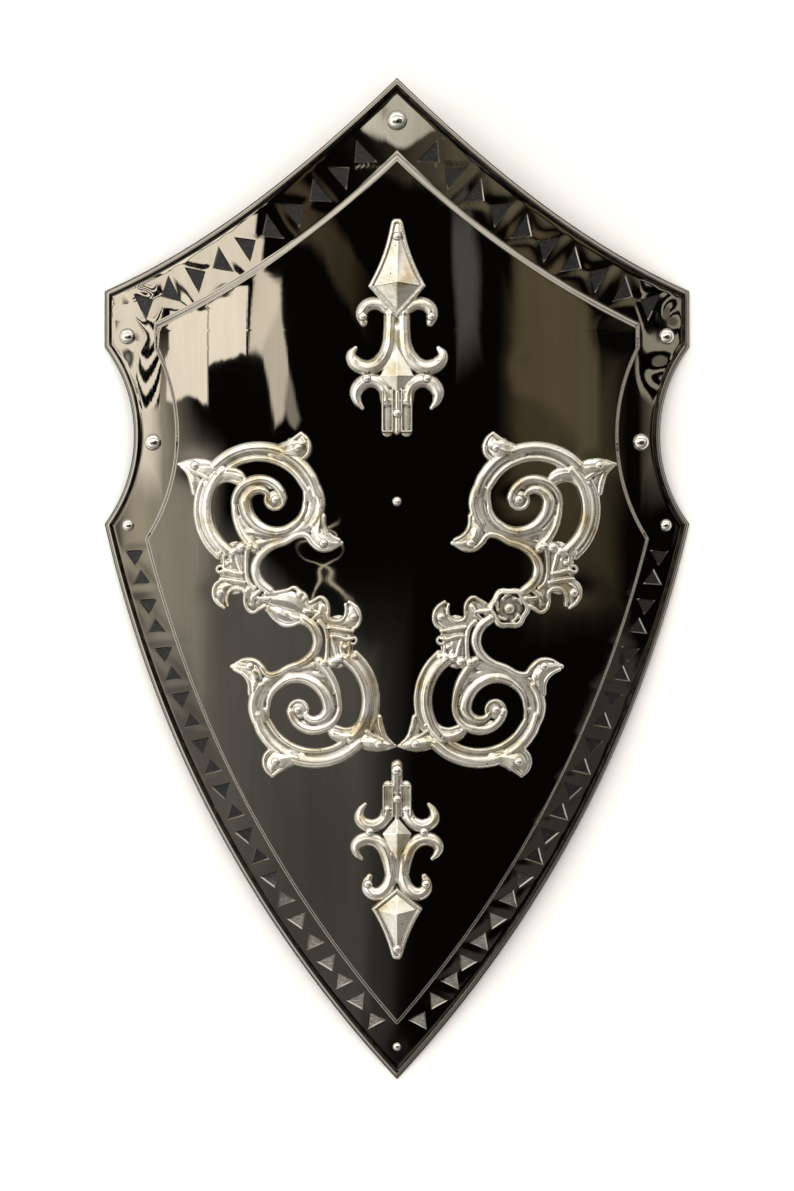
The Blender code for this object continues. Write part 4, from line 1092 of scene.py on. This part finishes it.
def buildSky():
    # a plain gradient from the light side to the shade side, with the canopy, boxes and swirls laid on a
    # ceiling at height 1, faint streaks over all and dusk near the horizon
    world = bpy.data.worlds.new("softStudio")
    bpy.context.scene.world = world
    world.use_nodes = True
    tree = world.node_tree
    ahead = addNode(tree, "TexCoord").outputs["Generated"]
    parts = addNode(tree, "SeparateXYZ", Vector=ahead)
    height = addNode(tree, "Math", maximum, i0=parts.outputs["Z"], i1=studio["lowest"])
    heights = addNode(tree, "CombineXYZ", X=height, Y=height, Z=height)
    flat = addNode(tree, "VectorMath", {"operation": "DIVIDE"}, i0=ahead, i1=heights)
    spread = addNode(tree, "Mapping", Vector=flat, Scale=studio["swayScale"])
    sway = addNode(tree, "TexNoise", Vector=spread, Scale=1, Detail=3).outputs["Color"]
    centred = addNode(tree, "VectorMath", {"operation": "SUBTRACT"}, i0=sway, i1=(0.5, 0.5, 0.5))
    small = addNode(tree, "VectorMath", multiply, i0=centred, i1=studio["sway"])
    bent = addNode(tree, "VectorMath", {"operation": "ADD"}, i0=flat, i1=small)
    facing = addNode(tree, "VectorMath", {"operation": "DOT_PRODUCT"}, i0=ahead,
                     i1=Vector(studio["lightFrom"]).normalized())
    share = addNode(tree, "MapRange", smooth, Value=facing, From_Min=-0.55, From_Max=0.75)
    layer = addNode(tree, "Mix", rgba, i0=share, i6=glowing(*studio["shadeSide"]),
                    i7=glowing(*studio["lightSide"]))
    for middle, half, turn, soft, *light in (studio["canopy"], *studio["boxes"]):
        local = addNode(tree, "Mapping", {"vector_type": "TEXTURE"}, Vector=bent, Location=(*middle, 0),
                        Rotation=(0, 0, radians(turn)), Scale=(*half, 1))
        layer = lay(tree, layer, local, 1 - soft, 1 + soft, glowing(*light))
    for middle, half, bend, spacing, pale, dark in studio["swirls"]:
        local = addNode(tree, "VectorMath", {"operation": "SUBTRACT"}, i0=bent, i1=(*middle, 0))
        sides = addNode(tree, "SeparateXYZ", Vector=local)
        bow = addNode(tree, "Math", multiply, i0=sides.outputs["X"], i1=sides.outputs["X"])
        hung = addNode(tree, "Math", {"operation": "MULTIPLY_ADD"}, i0=bow, i1=-bend, i2=sides.outputs["Y"])
        phase = addNode(tree, "Math", multiply, i0=hung, i1=2 * pi / spacing)
        beat = addNode(tree, "Math", {"operation": "SINE"}, i0=phase)
        stripe = addNode(tree, "MapRange", smooth, Value=beat, From_Min=-0.3, From_Max=0.1)
        shade = addNode(tree, "Mix", rgba, i0=stripe, i6=glowing(*pale), i7=glowing(*dark))
        share = addNode(tree, "VectorMath", {"operation": "DIVIDE"}, i0=local, i1=(*half, 1))
        layer = lay(tree, layer, share, 0.8, 1, shade)
    fine = addNode(tree, "Mapping", Vector=flat, Scale=studio["streakScale"])
    streaks = addNode(tree, "TexNoise", Vector=fine, Scale=1, Detail=3)
    dim = addNode(tree, "MapRange", Value=streaks, From_Min=0.3, From_Max=0.7, To_Min=studio["streaks"][0],
                  To_Max=studio["streaks"][1])
    low = addNode(tree, "MapRange", smooth, Value=parts.outputs["Z"], From_Max=studio["duskHeight"],
                  To_Min=studio["dusk"])
    strength = addNode(tree, "Math", multiply, i0=dim, i1=low)
    feed(tree, tree.nodes["Background"], {"Color": layer, "Strength": strength})


def softBoxes(name, boxes, lit):
    # soft boxes aimed at the middle of the shield, which light only the given objects
    group = bpy.data.collections.new(name)
    for item in lit:
        group.objects.link(item)
    for place, (width, depth), power in boxes:
        lamp = given(bpy.data.lights.new(name, "AREA"), shape="RECTANGLE", size=width, size_y=depth,
                     energy=power, color=srgb(studio["lampTint"])[:3])
        made = bpy.data.objects.new(name, lamp)
        given(made, location=place, rotation_euler=Vector(place).to_track_quat("Z", "Y").to_euler())
        made.visible_camera = False
        made.light_linking.receiver_collection = group
        view.objects.link(made)


def named(*starts):
    return [item for item in view.objects if item.name.startswith(starts)]


buildSky()
bm = bmesh.new()
bmesh.ops.create_grid(bm, x_segments=1, y_segments=1, size=studio["floorSize"] / mm)
ground = putMesh("floor", bm, floorPaper)
onCastings = named("casting_", "stud_scroll", "stud_finial", "stud_knob", "stud_centre")
onBorder = named("stud_left", "stud_right", "stud_peak", "stud_tip")
softBoxes("castingBox", studio["castingLights"], onCastings)
softBoxes("rivetBox", studio["rivetLights"], onBorder)
softBoxes("floorBox", studio["floorLights"], [ground])

lens = given(bpy.data.cameras.new("camera"), sensor_fit="VERTICAL", sensor_height=36)
lens.lens = lens.sensor_height * studio["cameraHeight"] / studio["shownHeight"]
eye = bpy.data.objects.new("camera", lens)
eye.location = (0, studio["aimY"], studio["cameraHeight"])
view.objects.link(eye)
bpy.context.scene.camera = eye
bpy.context.scene.view_settings.view_transform = "Standard"
print("studio set")
